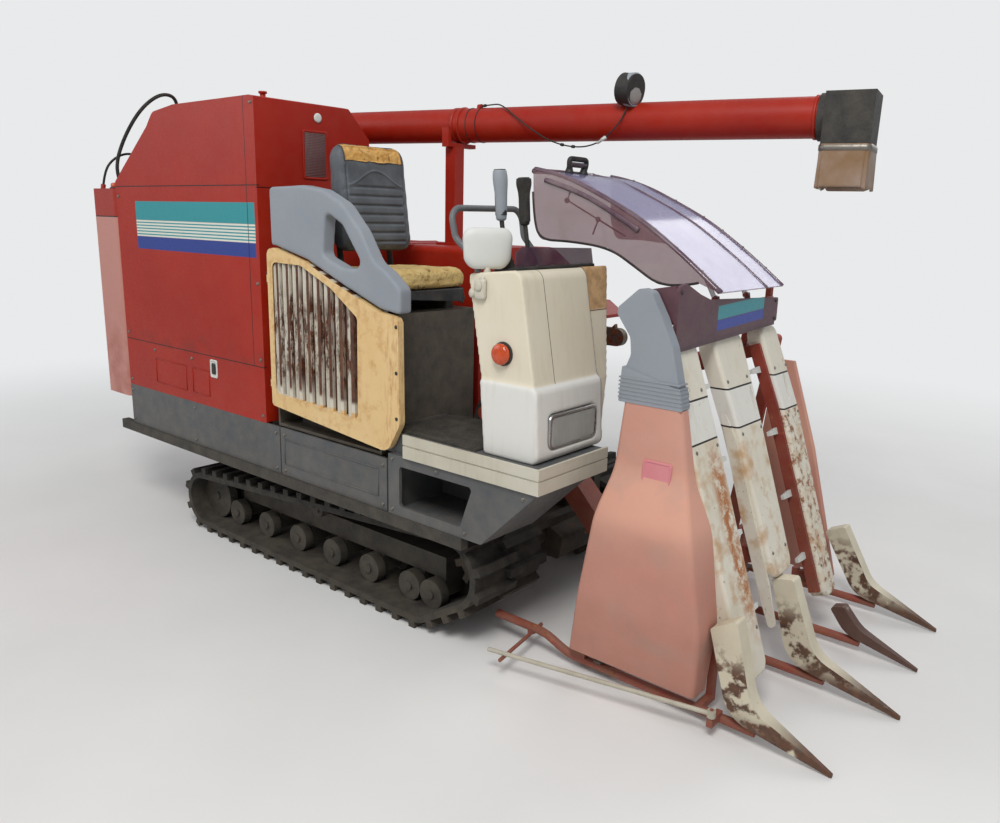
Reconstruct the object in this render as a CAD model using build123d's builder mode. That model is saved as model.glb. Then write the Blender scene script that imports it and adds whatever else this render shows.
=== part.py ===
import os
from math import atan2, cos, degrees, hypot, radians, sin, tan

from build123d import *

# Small three-row combine harvester on two rubber crawler tracks.
# Millimetres. +X is forward, +Y is the machine's left, +Z is up.
# The origin lies on the ground, below the middle of the machine's box.

# Overall reach
FRONT_X = 2033          # foremost divider tip
REAR_X = -2033          # rear face of the straw cutter
RIGHT_Y = -850          # outer face of the engine door
LEFT_Y = 850            # outer face of the feed chain cover

# Travel gear
TRACK_WIDTH = 400
TRACK_GAUGE = 1000      # between the middles of the two belts
TRACK_MIDDLE_Y = -90    # midway between the belts
BELT = 26               # belt thickness without lugs
LUG_HEIGHT = 28
LUG_LENGTH = 34         # along the belt
LUG_COUNT = 44          # on each half of the belt's width
LUG_LAP = 25            # how far a lug reaches past the belt's middle
ROLLER_R = 62
ROLLER_FRONT_X = 270
ROLLER_PITCH = 250
ROLLER_COUNT = 6
ROLLER_DISC = 42        # width of one roller disc
ROLLER_TREAD = 220      # across a roller's two discs
AXLE_R = 18
SPROCKET_X = 565
SPROCKET_Z = 285
SPROCKET_R = 121
SPROCKET_TEETH = 9
IDLER_X = -1150
IDLER_R = 112
BEAM_W = 100            # track frame beam, across
BEAM_LOW = 170
BEAM_HIGH = 262

# Main frame
RAIL_W = 50
RAIL_LOW = 330
DECK_LOW = 490          # underside of the cross members over the tracks
DECK_HIGH = 550
RIGHT_RAIL_Y = -315     # middle of the right inner rail
LEFT_RAIL_Y = 135
FRAME_REAR_X = -1850
FRAME_FRONT_X = 620
OUTER_RAIL_LOW = 430
OUTER_RAIL_HIGH = 478
OUTER_RAIL_W = 38
CROSS_W = 70            # cross member, along the machine

# Header pivot
PIVOT_X = 350
PIVOT_Z = 800
PIVOT_R = 30            # bore of the header stands
RUNNING = 0.05          # radial clearance of a running fit
SEAT_GAP = 0.3          # between a piece and what carries it
STAND_T = 40
STAND_L = 130

# Body on the right
SIDE_Y = -830           # right face of the tank and skirts
HOUSING_REAR_X = -430
HOUSING_FRONT_X = 240
HOUSING_LEFT_Y = -290
HOUSING_LOW = 692
HOUSING_TOP = 1229
SHEET = 12              # sheet and frame thickness of the housings
DOOR_T = 28
DOOR_GAP = 8
DOOR_IN_Y = RIGHT_Y + DOOR_T
HOUSING_RIGHT_Y = DOOR_IN_Y + DOOR_GAP
DOOR_HINGE = (-428, -838)       # x, y
HINGE_PIN_R = 5
HINGE_Z = (885, 1330)   # middles of the door's hinges
KNUCKLE_R = 9
KNUCKLE_H = 30
ENGINE_L, ENGINE_W, ENGINE_H = 520, 400, 430

# Platform and step
FLOOR_TOP = 800
TRIM_TOP = 807
TRIM_GROOVE = 767
TRIM_LOW = 718
PLATFORM_FRONT_X = 1020
PLATFORM_RIGHT_Y = -838
PLATFORM_LEFT_Y = -440
STEP_REAR_X = 302
STEP_LOW = 478
STEP_TOE_X = 777        # lower front corner of the step box
TRIM_T = 10
MAT_T = 6

# Seat
SEAT_MIDDLE_Y = -540
SEAT_W = 410
SEAT_FRONT_X = 255
SEAT_REAR_X = -110
SEAT_LOW = 1318
SEAT_PAD_T = 85
BACK_LOW = 1440
BACK_TOP = 1886
BACK_T = 95

# Grain tank
TANK_FRONT_X = -500
TANK_REAR_X = -1740
TANK_LEFT_Y = -215
TANK_LOW = 690
TANK_TOP = 2065

# Thresher
THRESHER_FRONT_X = 180
THRESHER_REAR_X = -1500
THRESHER_RIGHT_Y = -190
THRESHER_LEFT_Y = 640
THRESHER_LOW = 550      # on the deck
THRESHER_SILL = 1120    # where the cover's skirt ends
THRESHER_ROOF = 1470
ROOF_SPLIT_X = -250     # front edge of the opening cover

# Auger
AUGER_X = -1785         # upright axis of the auger
AUGER_Y = -216
AUGER_YAW = 9.9         # the stowed tube points this far to the left
AUGER_Z = 2030          # height of the tube's axis at the elbow
AUGER_DROP = 0.75       # degrees that the stowed tube slopes down
TUBE_R = 75
TUBE_LENGTH = 3240

# Header
GROUND_CLEAR = 0
CASE_FOOT_SLOPE = 0.352     # forward run of a raising case for each unit of drop
CASE_TOP_X = 1300           # front plane of the cases at the height below
CASE_TOP_Z = 1220
CASE_DEPTH = 62

os.makedirs("parts", exist_ok=True)


def finish(builder, name, place=Location()):
    """Labels a finished piece, puts it in its place and writes it to its own file."""
    piece = builder.part.moved(place)
    piece.label = name
    export_step(piece, f"parts/{name}.step")


def block(x, y, z, mode=Mode.ADD):
    """A box between two values on each axis."""
    middle = ((x[0] + x[1]) / 2, (y[0] + y[1]) / 2, (z[0] + z[1]) / 2)
    with Locations(middle):
        Box(abs(x[1] - x[0]), abs(y[1] - y[0]), abs(z[1] - z[0]), mode=mode)


def outline(points, corner=0):
    """A closed face from corner points, with one rounding or one for each corner."""
    with BuildLine() as edge:
        if corner:
            FilletPolyline(*points, radius=corner, close=True)
        else:
            Polyline(*points, close=True)
    make_face(edge.edges())


def slab_y(points, low, high, corner=0, mode=Mode.ADD):
    """A plate with its outline in X and Z, between two places across the machine."""
    with BuildSketch(Plane.XZ.offset(-high)) as face:
        outline(points, corner)
    extrude(face.sketch, amount=high - low, mode=mode)


def slab_x(points, low, high, corner=0, mode=Mode.ADD):
    """A plate with its outline in Y and Z, between two places along the machine."""
    with BuildSketch(Plane.YZ.offset(low)) as face:
        outline(points, corner)
    extrude(face.sketch, amount=high - low, mode=mode)


def slab_z(points, low, high, corner=0, mode=Mode.ADD):
    """A plate with its outline in X and Y, between two heights."""
    with BuildSketch(Plane.XY.offset(low)) as face:
        outline(points, corner)
    extrude(face.sketch, amount=high - low, mode=mode)


def rod(start, end, radius, mode=Mode.ADD):
    """A round bar between two points."""
    a, b = Vector(*start), Vector(*end)
    with BuildSketch(Plane(origin=a, z_dir=b - a)) as face:
        Circle(radius)
    extrude(face.sketch, amount=(b - a).length, mode=mode)


def bent_rod(points, bends, radius, mode=Mode.ADD):
    """A round bar along straight runs joined by tangent arcs."""
    with BuildLine() as route:
        FilletPolyline(*points, radius=bends)
    with BuildSketch(Plane(origin=route.line @ 0, z_dir=route.line % 0)) as face:
        Circle(radius)
    sweep(face.sketch, path=route.line, mode=mode)


def cord_bends(points):
    """Radius at each inner point of a cord's route, as large as its two runs allow."""
    runs = [Vector(*b) - Vector(*a) for a, b in zip(points, points[1:])]
    return [0.45 * min(before.length, after.length) / tan(radians(before.get_angle(after)) / 2)
            for before, after in zip(runs, runs[1:])]


def gland(points, at, radius, reach):
    """A short boss in line with a cord's run, from inside its carrier to the cord's end."""
    end, inner = (points[0], points[1]) if at == 0 else (points[-1], points[-2])
    back = (Vector(*end) - Vector(*inner)).normalized() * reach
    rod(end, Vector(*end) + back, radius)


# Rubber tracks: a belt round the sprocket, the nose roller and the idler, with bars outside
BELT_OUT = BELT + LUG_HEIGHT
IDLER_Z = BELT_OUT + IDLER_R
ROLLER_Z = BELT_OUT + ROLLER_R
NOSE_X = ROLLER_FRONT_X + ROLLER_PITCH / 2      # lower roller where the belt leaves the ground
BELT_WHEELS = (  # x, z, radius inside the belt
    (SPROCKET_X, SPROCKET_Z, SPROCKET_R),
    (NOSE_X, ROLLER_Z, ROLLER_R),
    (IDLER_X, IDLER_Z, IDLER_R),
)
TRACKS = (  # name, middle of the belt across the machine, side that faces outwards
    ("right", TRACK_MIDDLE_Y - TRACK_GAUGE / 2, -1),
    ("left", TRACK_MIDDLE_Y + TRACK_GAUGE / 2, 1),
)
GUIDE_HEIGHT = 30
GUIDE_W = 36


def belt_loop(extra):
    """The face inside a taut loop that lies a given distance outside the wheels."""
    for x, z, radius in BELT_WHEELS:
        with Locations((x, z)):
            Circle(radius + extra)
    make_hull()


for side, track_y, outward in TRACKS:
    with BuildPart() as track:
        with BuildSketch(Plane.XZ.offset(-track_y)) as loop:
            belt_loop(BELT)
        extrude(amount=TRACK_WIDTH / 2, both=True)
        rim = loop.sketch_local.face().outer_wire()
        for half, (low, high) in enumerate(((-TRACK_WIDTH / 2, LUG_LAP), (-LUG_LAP, TRACK_WIDTH / 2))):
            with BuildSketch(Plane.XZ.offset(-(track_y + high))):
                for step in range(LUG_COUNT):
                    place = ((step + half / 2) / LUG_COUNT) % 1
                    foot = rim.position_at(place)
                    turn = rim.tangent_angle_at(place)
                    out = Vector(sin(radians(turn)), -cos(radians(turn)))
                    centre = foot + out * (LUG_HEIGHT - BELT / 2) / 2
                    with Locations((centre.X, centre.Y)):
                        Rectangle(LUG_LENGTH, LUG_HEIGHT + BELT / 2, rotation=turn)
            extrude(amount=high - low)
        with BuildSketch(Plane.XZ.offset(-track_y)):
            belt_loop(0)
        extrude(amount=TRACK_WIDTH, both=True, mode=Mode.SUBTRACT)
    finish(track, f"track_{side}")

# Track frames: a beam between the roller discs, with the rollers, the idler and its fork
CARRIER_X = -330
CARRIER_R = 40
ROLLER_X = tuple(ROLLER_FRONT_X - ROLLER_PITCH * i for i in range(ROLLER_COUNT))
WHEEL_CLEAR = 0.3       # between the rubber and what rolls in it
UPPER_RUN = (SPROCKET_Z + SPROCKET_R - IDLER_Z - IDLER_R) / (SPROCKET_X - IDLER_X)
CARRIER_Z = IDLER_Z + IDLER_R + UPPER_RUN * (CARRIER_X - IDLER_X) - CARRIER_R - 2

for side, track_y, outward in TRACKS:
    with BuildPart() as track_frame:
        block((IDLER_X + IDLER_R + 30, NOSE_X + 28), (track_y - BEAM_W / 2, track_y + BEAM_W / 2),
              (BEAM_LOW, BEAM_HIGH))
        wheels = [(x, ROLLER_Z, ROLLER_R) for x in ROLLER_X]
        wheels += [(NOSE_X, ROLLER_Z, ROLLER_R), (IDLER_X, IDLER_Z, IDLER_R), (CARRIER_X, CARRIER_Z, CARRIER_R)]
        for x, z, radius in wheels:
            for shift in (-1, 1):
                face_y = track_y + shift * (ROLLER_TREAD - ROLLER_DISC) / 2
                rod((x, face_y - ROLLER_DISC / 2, z), (x, face_y + ROLLER_DISC / 2, z), radius - WHEEL_CLEAR)
            rod((x, track_y - ROLLER_TREAD / 2 - 8, z), (x, track_y + ROLLER_TREAD / 2 + 8, z), AXLE_R)
        for x in (*ROLLER_X, NOSE_X - 4):
            block((x - 32, x + 32), (track_y - BEAM_W / 2, track_y + BEAM_W / 2), (ROLLER_Z - 26, BEAM_LOW))
        block((IDLER_X - 24, IDLER_X + IDLER_R + 60), (track_y - 30, track_y + 30), (IDLER_Z - 24, IDLER_Z + 26))
        block((CARRIER_X - 25, CARRIER_X + 25), (track_y - 30, track_y + 30), (BEAM_HIGH, CARRIER_Z + 20))
    finish(track_frame, f"track_frame_{side}")

# Drive sprockets, one solid for each side
SPROCKET_W = 60
SHAFT_R = 32
with BuildPart() as sprockets:
    for side, track_y, outward in TRACKS:
        with BuildSketch(Plane.XZ.offset(-(track_y + SPROCKET_W / 2))):
            with Locations((SPROCKET_X, SPROCKET_Z)):
                Circle(SPROCKET_R - 34)
            for step in range(SPROCKET_TEETH):
                turn = 360 * step / SPROCKET_TEETH
                reach = SPROCKET_R - WHEEL_CLEAR - 2
                arm = reach / 2
                with Locations((SPROCKET_X + arm * cos(radians(turn)), SPROCKET_Z + arm * sin(radians(turn)))):
                    Rectangle(reach, 30, rotation=turn)
            with Locations((SPROCKET_X, SPROCKET_Z)):
                Circle(SHAFT_R, mode=Mode.SUBTRACT)
        extrude(amount=SPROCKET_W)
finish(sprockets, "drive_sprockets")

# Transmission between the tracks, with an axle tube and shaft to each sprocket
GEARBOX_W = 260
GEARBOX_Y = (RIGHT_RAIL_Y + LEFT_RAIL_Y) / 2
with BuildPart() as transmission:
    slab_y(((SPROCKET_X - 130, 200), (SPROCKET_X + 110, 200), (SPROCKET_X + 130, 300),
            (SPROCKET_X + 60, RAIL_LOW), (SPROCKET_X - 130, RAIL_LOW)),
           GEARBOX_Y - GEARBOX_W / 2, GEARBOX_Y + GEARBOX_W / 2, corner=18)
    shaft_y = [track_y for side, track_y, outward in TRACKS]
    rod((SPROCKET_X, shaft_y[0] - SPROCKET_W / 2 - 12, SPROCKET_Z),
        (SPROCKET_X, shaft_y[1] + SPROCKET_W / 2 + 12, SPROCKET_Z), SHAFT_R - RUNNING)
    rod((SPROCKET_X, shaft_y[0] + SPROCKET_W / 2 + 4, SPROCKET_Z),
        (SPROCKET_X, shaft_y[1] - SPROCKET_W / 2 - 4, SPROCKET_Z), SHAFT_R + 10)
finish(transmission, "transmission")

# Lift cylinder of the header: a pin on the left rail, and a pin on the header's arm
ARM_PIN = (754, 412)    # x, z
FRAME_PIN = (150, 362)
LIFT_Y = 74
LIFT_R = 27
LIFT_ROD_R = 15
LIFT_PIN_R = 11
LIFT_EYE_R = 18         # bore of the rod's eye, wide enough for the open linkage's drift

# Main frame: inner rails, cross tubes to the track frames, deck members, header stands, outer rail
CROSS_TUBES_X = (ROLLER_X[-2] + ROLLER_PITCH / 2, ROLLER_X[1] + ROLLER_PITCH / 2)
DECK_X = (-1700, -1100, -520, 200)
SKIRT_T = 10
TANK_POSTS_Y = (SIDE_Y + 60, TANK_LEFT_Y - 130)
with BuildPart() as main_frame:
    for rail_y in (RIGHT_RAIL_Y, LEFT_RAIL_Y):
        block((FRAME_REAR_X, FRAME_FRONT_X), (rail_y - RAIL_W / 2, rail_y + RAIL_W / 2), (RAIL_LOW, DECK_LOW))
    for x in CROSS_TUBES_X:
        block((x - CROSS_W / 2, x + CROSS_W / 2),
              (TRACKS[0][1] + BEAM_W / 2, TRACKS[1][1] - BEAM_W / 2), (BEAM_LOW + 10, BEAM_HIGH - 6))
        for rail_y in (RIGHT_RAIL_Y, LEFT_RAIL_Y):
            block((x - CROSS_W / 2, x + CROSS_W / 2), (rail_y - RAIL_W / 2, rail_y + RAIL_W / 2),
                  (BEAM_HIGH - 6, RAIL_LOW))
    for x in DECK_X:
        block((x - CROSS_W / 2, x + CROSS_W / 2), (SIDE_Y + SKIRT_T, THRESHER_LEFT_Y - 20), (DECK_LOW, DECK_HIGH))
    block((FRAME_FRONT_X - 50, FRAME_FRONT_X), (RIGHT_RAIL_Y, LEFT_RAIL_Y), (RAIL_LOW, RAIL_LOW + 30))
    for rail_y in (RIGHT_RAIL_Y, LEFT_RAIL_Y):
        slab_y(((PIVOT_X - STAND_L, DECK_LOW), (PIVOT_X + STAND_L, DECK_LOW),
                (PIVOT_X + PIVOT_R + 26, PIVOT_Z), (PIVOT_X + 30, PIVOT_Z + PIVOT_R + 24),
                (PIVOT_X - 30, PIVOT_Z + PIVOT_R + 24), (PIVOT_X - PIVOT_R - 26, PIVOT_Z)),
               rail_y - STAND_T / 2, rail_y + STAND_T / 2)
    rod((PIVOT_X, RIGHT_RAIL_Y - STAND_T, PIVOT_Z), (PIVOT_X, LEFT_RAIL_Y + STAND_T, PIVOT_Z), PIVOT_R,
        mode=Mode.SUBTRACT)
    rod((FRAME_PIN[0], LIFT_Y - LIFT_R - 6, FRAME_PIN[1]), (FRAME_PIN[0], LEFT_RAIL_Y, FRAME_PIN[1]), LIFT_PIN_R)
    block((FRAME_REAR_X, STEP_TOE_X - 90), (RIGHT_Y + 8, RIGHT_Y + 8 + OUTER_RAIL_W), (OUTER_RAIL_LOW, OUTER_RAIL_HIGH))
    for x in DECK_X:
        block((x - 30, x + 30), (RIGHT_Y + 8, SIDE_Y + 60), (OUTER_RAIL_HIGH - 12, OUTER_RAIL_HIGH))
        block((x - 30, x + 30), (SIDE_Y + 30, SIDE_Y + 60), (OUTER_RAIL_HIGH - 12, DECK_LOW))
    for x in DECK_X[:3]:
        for y in TANK_POSTS_Y:
            block((x - 30, x + 30), (y - 25, y + 25), (DECK_HIGH, TANK_LOW))
    for y in (HOUSING_RIGHT_Y + 60, HOUSING_LEFT_Y - 60):
        block((DECK_X[3] - 30, DECK_X[3] + 30), (y - 25, y + 25), (DECK_HIGH, HOUSING_LOW))
        block((HOUSING_REAR_X + 40, HOUSING_REAR_X + 90), (y - 25, y + 25), (DECK_LOW, HOUSING_LOW))
    block((HOUSING_REAR_X + 30, HOUSING_REAR_X + 100), (SIDE_Y + SKIRT_T, RIGHT_RAIL_Y), (DECK_LOW, DECK_HIGH))
finish(main_frame, "main_frame")

# Engine as one plain block, under the seat
ENGINE_X = (HOUSING_REAR_X + 70, HOUSING_REAR_X + 70 + ENGINE_L)
ENGINE_Y = (HOUSING_LEFT_Y - 60 - ENGINE_W, HOUSING_LEFT_Y - 60)
with BuildPart() as engine_block:
    block(ENGINE_X, ENGINE_Y, (HOUSING_LOW + SHEET, HOUSING_LOW + SHEET + ENGINE_H))
    fillet(engine_block.edges().filter_by(Axis.Z), 20)
finish(engine_block, "engine_block")

# Engine housing: floor, front wall of the seat box, left wall, roof and rear wall, open to the right
SHELL_LOW = 1240        # top of the door at its front end
with BuildPart() as engine_housing:
    block((HOUSING_REAR_X, HOUSING_FRONT_X), (HOUSING_RIGHT_Y, HOUSING_LEFT_Y), (HOUSING_LOW, HOUSING_TOP))
    block((HOUSING_REAR_X + SHEET, HOUSING_FRONT_X - SHEET), (HOUSING_RIGHT_Y - 10, HOUSING_LEFT_Y - SHEET),
          (HOUSING_LOW + SHEET, HOUSING_TOP - SHEET), mode=Mode.SUBTRACT)
    for z in HINGE_Z:
        rod((*DOOR_HINGE, z - KNUCKLE_H), (*DOOR_HINGE, z + KNUCKLE_H), HINGE_PIN_R)
        for low in (z - KNUCKLE_H / 2 - 12, z + KNUCKLE_H / 2 + 2):
            block((DOOR_HINGE[0] - 7, DOOR_HINGE[0] + 3), (DOOR_HINGE[1] - 6, HOUSING_RIGHT_Y + 6), (low, low + 10))
finish(engine_housing, "engine_housing")

# Engine door: a pressed panel with its top edge falling forwards, and upright bars in its grille
DOOR_OUTLINE = (  # x, z
    (-420, 790), (-420, 1450), (-368, 1459), (-162, 1411), (51, 1328), (266, 1252), (372, 1239),
    (378, 840), (310, 724),
)
GRILLE_OUTLINE = ((-390, 848), (-385, 1400), (-195, 1396), (-9, 1320), (148, 1218), (143, 820))
GRILLE_BARS = 8
BAR_T = 20              # width of a grille bar, along the machine
BAR_DEPTH = 14


def height_on(line, x):
    """Height of an outline's upper edge at one place along the machine."""
    for (x_a, z_a), (x_b, z_b) in zip(line, line[1:]):
        if x_a <= x <= x_b:
            return z_a + (z_b - z_a) * (x - x_a) / (x_b - x_a)
    return line[-1][1]


with BuildPart() as engine_door:
    slab_y(DOOR_OUTLINE, RIGHT_Y, DOOR_IN_Y, corner=(18, 30, 40, 60, 60, 60, 30, 60, 60))
    slab_y(GRILLE_OUTLINE, RIGHT_Y, RIGHT_Y + DOOR_T, corner=24, mode=Mode.SUBTRACT)
    span = GRILLE_OUTLINE[-1][0] - GRILLE_OUTLINE[0][0]
    for i in range(GRILLE_BARS):
        x = GRILLE_OUTLINE[0][0] + span * (i + 0.5) / GRILLE_BARS
        top = height_on(GRILLE_OUTLINE[1:5], x)
        block((x - BAR_T / 2, x + BAR_T / 2), (RIGHT_Y + 6, RIGHT_Y + 6 + BAR_DEPTH), (815, top + 12))
    for z in HINGE_Z:
        rod((*DOOR_HINGE, z - KNUCKLE_H / 2), (*DOOR_HINGE, z + KNUCKLE_H / 2), KNUCKLE_R)
        block((DOOR_HINGE[0], DOOR_OUTLINE[0][0] + 4), (DOOR_HINGE[1] - KNUCKLE_R, DOOR_HINGE[1] + 2),
              (z - KNUCKLE_H / 2, z + KNUCKLE_H / 2))
        rod((*DOOR_HINGE, z - KNUCKLE_H), (*DOOR_HINGE, z + KNUCKLE_H), HINGE_PIN_R + RUNNING, mode=Mode.SUBTRACT)
finish(engine_door, "engine_door")

# Armrest shell over the door, with a loop handle
SHELL_OUT_Y = RIGHT_Y + 6
SHELL_T = 60
SHELL_GAP = 8           # between the shell and the door below it
with BuildPart() as armrest_shell:
    slab_y(((-400, 1700), (-395, 1467), (-368, 1467), (-160, 1420), (54, 1337), (268, 1262), (376, 1249),
            (378, 1340), (300, 1400), (237, 1431), (160, 1545), (60, 1640), (-60, 1690), (-178, 1706)),
           SHELL_OUT_Y, SHELL_OUT_Y + SHELL_T, corner=(20, 10, 30, 60, 60, 60, 10, 30, 40, 60, 80, 80, 80, 60))
    slab_y(((-60, 1440), (-40, 1610), (60, 1560), (165, 1425), (140, 1400), (60, 1400)),
           SHELL_OUT_Y, SHELL_OUT_Y + SHELL_T, corner=26, mode=Mode.SUBTRACT)
    block((-398, -350), (SHELL_OUT_Y + SHELL_T - 8, SHELL_OUT_Y + SHELL_T + 20), (HOUSING_TOP, 1560))
    block((170, 230), (SHELL_OUT_Y + SHELL_T - 8, SHELL_OUT_Y + SHELL_T + 20), (HOUSING_TOP, 1330))
finish(armrest_shell, "armrest_shell")

TRIM_REAR_X = 392       # just ahead of the engine door
# Platform floor with a low toe rim, and the off-white double trim round its right and front
with BuildPart() as platform:
    slab_z(((HOUSING_FRONT_X, PLATFORM_LEFT_Y), (HOUSING_FRONT_X, HOUSING_RIGHT_Y),
            (TRIM_REAR_X, HOUSING_RIGHT_Y), (TRIM_REAR_X, PLATFORM_RIGHT_Y),
            (PLATFORM_FRONT_X, PLATFORM_RIGHT_Y), (PLATFORM_FRONT_X, PLATFORM_LEFT_Y)), TRIM_LOW, FLOOR_TOP)
finish(platform, "platform")

with BuildPart() as platform_trim:
    for low, high in ((TRIM_LOW, TRIM_GROOVE - 3), (TRIM_GROOVE + 3, TRIM_TOP)):
        block((TRIM_REAR_X, PLATFORM_FRONT_X + TRIM_T), (PLATFORM_RIGHT_Y - TRIM_T, PLATFORM_RIGHT_Y),
              (low, high))
        block((PLATFORM_FRONT_X, PLATFORM_FRONT_X + TRIM_T), (PLATFORM_RIGHT_Y, PLATFORM_LEFT_Y), (low, high))
    block((TRIM_REAR_X, PLATFORM_FRONT_X + TRIM_T - 4), (PLATFORM_RIGHT_Y - TRIM_T + 4, PLATFORM_RIGHT_Y),
          (TRIM_GROOVE - 4, TRIM_GROOVE + 4))
    block((PLATFORM_FRONT_X, PLATFORM_FRONT_X + TRIM_T - 4), (PLATFORM_RIGHT_Y, PLATFORM_LEFT_Y),
          (TRIM_GROOVE - 4, TRIM_GROOVE + 4))
finish(platform_trim, "platform_trim")

with BuildPart() as floor_mat:
    block((HOUSING_FRONT_X + 20, 720), (PLATFORM_RIGHT_Y + 30, PLATFORM_LEFT_Y - 20),
          (FLOOR_TOP, FLOOR_TOP + MAT_T))
finish(floor_mat, "floor_mat")

# Step box below the platform, cut back under its front, with a foothold through its side
STEP_SIDE_T = 14
STEP_DEPTH = 300
FOOTHOLD = ((362, 677), (734, 677), (677, 518), (362, 518))
with BuildPart() as step_box:
    side_face = ((STEP_REAR_X, TRIM_LOW), (PLATFORM_FRONT_X, TRIM_LOW), (STEP_TOE_X, STEP_LOW), (STEP_REAR_X, STEP_LOW))
    slab_y(side_face, PLATFORM_RIGHT_Y, PLATFORM_RIGHT_Y + STEP_DEPTH)
    slab_y(((STEP_REAR_X + STEP_SIDE_T, TRIM_LOW - STEP_SIDE_T), (PLATFORM_FRONT_X - 50, TRIM_LOW - STEP_SIDE_T),
            (STEP_TOE_X - 10, STEP_LOW + STEP_SIDE_T), (STEP_REAR_X + STEP_SIDE_T, STEP_LOW + STEP_SIDE_T)),
           PLATFORM_RIGHT_Y + STEP_SIDE_T, PLATFORM_RIGHT_Y + STEP_DEPTH - STEP_SIDE_T, mode=Mode.SUBTRACT)
    slab_y(FOOTHOLD, PLATFORM_RIGHT_Y - 5, PLATFORM_RIGHT_Y + STEP_SIDE_T + 5, corner=14, mode=Mode.SUBTRACT)
finish(step_box, "step_box")

# Side skirts below the tank and the engine door
SKIRT_SPLIT_X = -402
with BuildPart() as side_skirts:
    for x_low, x_high in ((TANK_REAR_X, SKIRT_SPLIT_X - 4), (SKIRT_SPLIT_X + 4, 284)):
        block((x_low, x_high), (SIDE_Y, SIDE_Y + SKIRT_T), (OUTER_RAIL_HIGH, TANK_LOW - SEAT_GAP))
finish(side_skirts, "side_skirts")

# Console: leaning upper body, wider lower block and a leaning strip on its left front
LEAN = ((757, FLOOR_TOP), (978, FLOOR_TOP), (959, 1040), (885, 1437), (659, 1414), (728, 1040))
CONSOLE_RIGHT_Y, CONSOLE_LEFT_Y = -792, -420
BLOCK_TOP = 1058
LIGHT_Y = (-736, -453)
LIGHT_Z = (840, 963)
LIGHT_SEAT_X = 962      # back of the headlight's recess
with BuildPart() as console:
    slab_y([(x - 12, z) for x, z in LEAN], CONSOLE_LEFT_Y, -160)
    slab_x(((CONSOLE_LEFT_Y, FLOOR_TOP), (-396, FLOOR_TOP), (-345, 1015), (-256, 1465), (CONSOLE_LEFT_Y, 1450)),
           600, 1000, mode=Mode.INTERSECT)
    slab_y(LEAN, CONSOLE_RIGHT_Y, CONSOLE_LEFT_Y + 2, corner=(20, 20, 10, 40, 12, 10))
    slab_y(((748, FLOOR_TOP), (988, FLOOR_TOP), (972, BLOCK_TOP), (724, BLOCK_TOP)),
           CONSOLE_RIGHT_Y - 10, CONSOLE_LEFT_Y + 8, corner=(8, 30, 24, 8))
    slab_x(((LIGHT_Y[0], LIGHT_Z[0]), (LIGHT_Y[1], LIGHT_Z[0]), (LIGHT_Y[1], LIGHT_Z[1]), (LIGHT_Y[0], LIGHT_Z[1])),
           LIGHT_SEAT_X, 1100, corner=26, mode=Mode.SUBTRACT)
finish(console, "console")

FIT_GAP = 0.5           # around a lens in its recess
with BuildPart() as headlight:
    slab_x(((LIGHT_Y[0] + FIT_GAP, LIGHT_Z[0] + FIT_GAP), (LIGHT_Y[1] - FIT_GAP, LIGHT_Z[0] + FIT_GAP),
            (LIGHT_Y[1] - FIT_GAP, LIGHT_Z[1] - FIT_GAP), (LIGHT_Y[0] + FIT_GAP, LIGHT_Z[1] - FIT_GAP)),
           LIGHT_SEAT_X, LIGHT_SEAT_X + 26, corner=26 - FIT_GAP)
finish(headlight, "headlight")

# Orange marker lamps on the console's side and on the rear corner box
CORNER_BOX_TOP = 1700
MARKER_R = 36
MARKER_T = 30
with BuildPart() as marker_lamps:
    rod((823, CONSOLE_RIGHT_Y, 1158), (823, CONSOLE_RIGHT_Y - MARKER_T, 1158), MARKER_R)
    rod((-1780, -795, CORNER_BOX_TOP), (-1780, -795, CORNER_BOX_TOP + 40), MARKER_R)
finish(marker_lamps, "marker_lamps")

# Mirror on a short bracket at the console's rear corner
MIRROR_AT = (728, -772, 1499)
MIRROR_TURN = 38        # degrees that the mirror's back turns to the right
with BuildPart() as mirror:
    with BuildSketch(Plane(origin=MIRROR_AT, x_dir=(sin(radians(MIRROR_TURN)), cos(radians(MIRROR_TURN)), 0),
                           z_dir=(cos(radians(MIRROR_TURN)), -sin(radians(MIRROR_TURN)), 0))) as shield:
        RectangleRounded(168, 136, 34)
    extrude(shield.sketch, amount=16, both=True)
    rod((726, -772, 1424), (728, -772, 1440), 11)
finish(mirror, "mirror")

# Two control levers on the console and a foot pedal by the mat
LEVERS = (  # x, y, top
    (735, -680, 1758),
    (735, -550, 1738),
)
GRIP_R = 20
with BuildPart() as controls:
    for x, y, top in LEVERS:
        rod((x, y, 1423), (x - 30, y, top - 150), 8)
        rod((x - 30, y, top - 150), (x - 36, y - 6, top), GRIP_R)
    block((600, 690), (-560, -500), (FLOOR_TOP + MAT_T, FLOOR_TOP + MAT_T + 24))
finish(controls, "controls")

# Guard rail: a hoop behind the console's top
HOOP_R = 11
with BuildPart() as guard_rail:
    bent_rod(((688, -776, 1418.4), (688, -776, 1452), (600, -794, 1530), (580, -800, 1628), (580, -420, 1632),
              (600, -424, 1534), (688, -436, 1452), (688, -436, 1418.4)), (20, 40, 45, 45, 40, 20), HOOP_R)
finish(guard_rail, "guard_rail")

# Low tinted windscreen along the console's top front edge
SCREEN_LEFT_Y = -322     # clear of the hood's right wall
with BuildPart() as windscreen:
    slab_x(((-770, 1433.6), (-424, 1433.6), (-424, 1434.8), (SCREEN_LEFT_Y, 1434.8), (SCREEN_LEFT_Y - 18, 1500),
            (-740, 1508), (-770, 1490)), 846, 850)
finish(windscreen, "windscreen")

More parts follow.
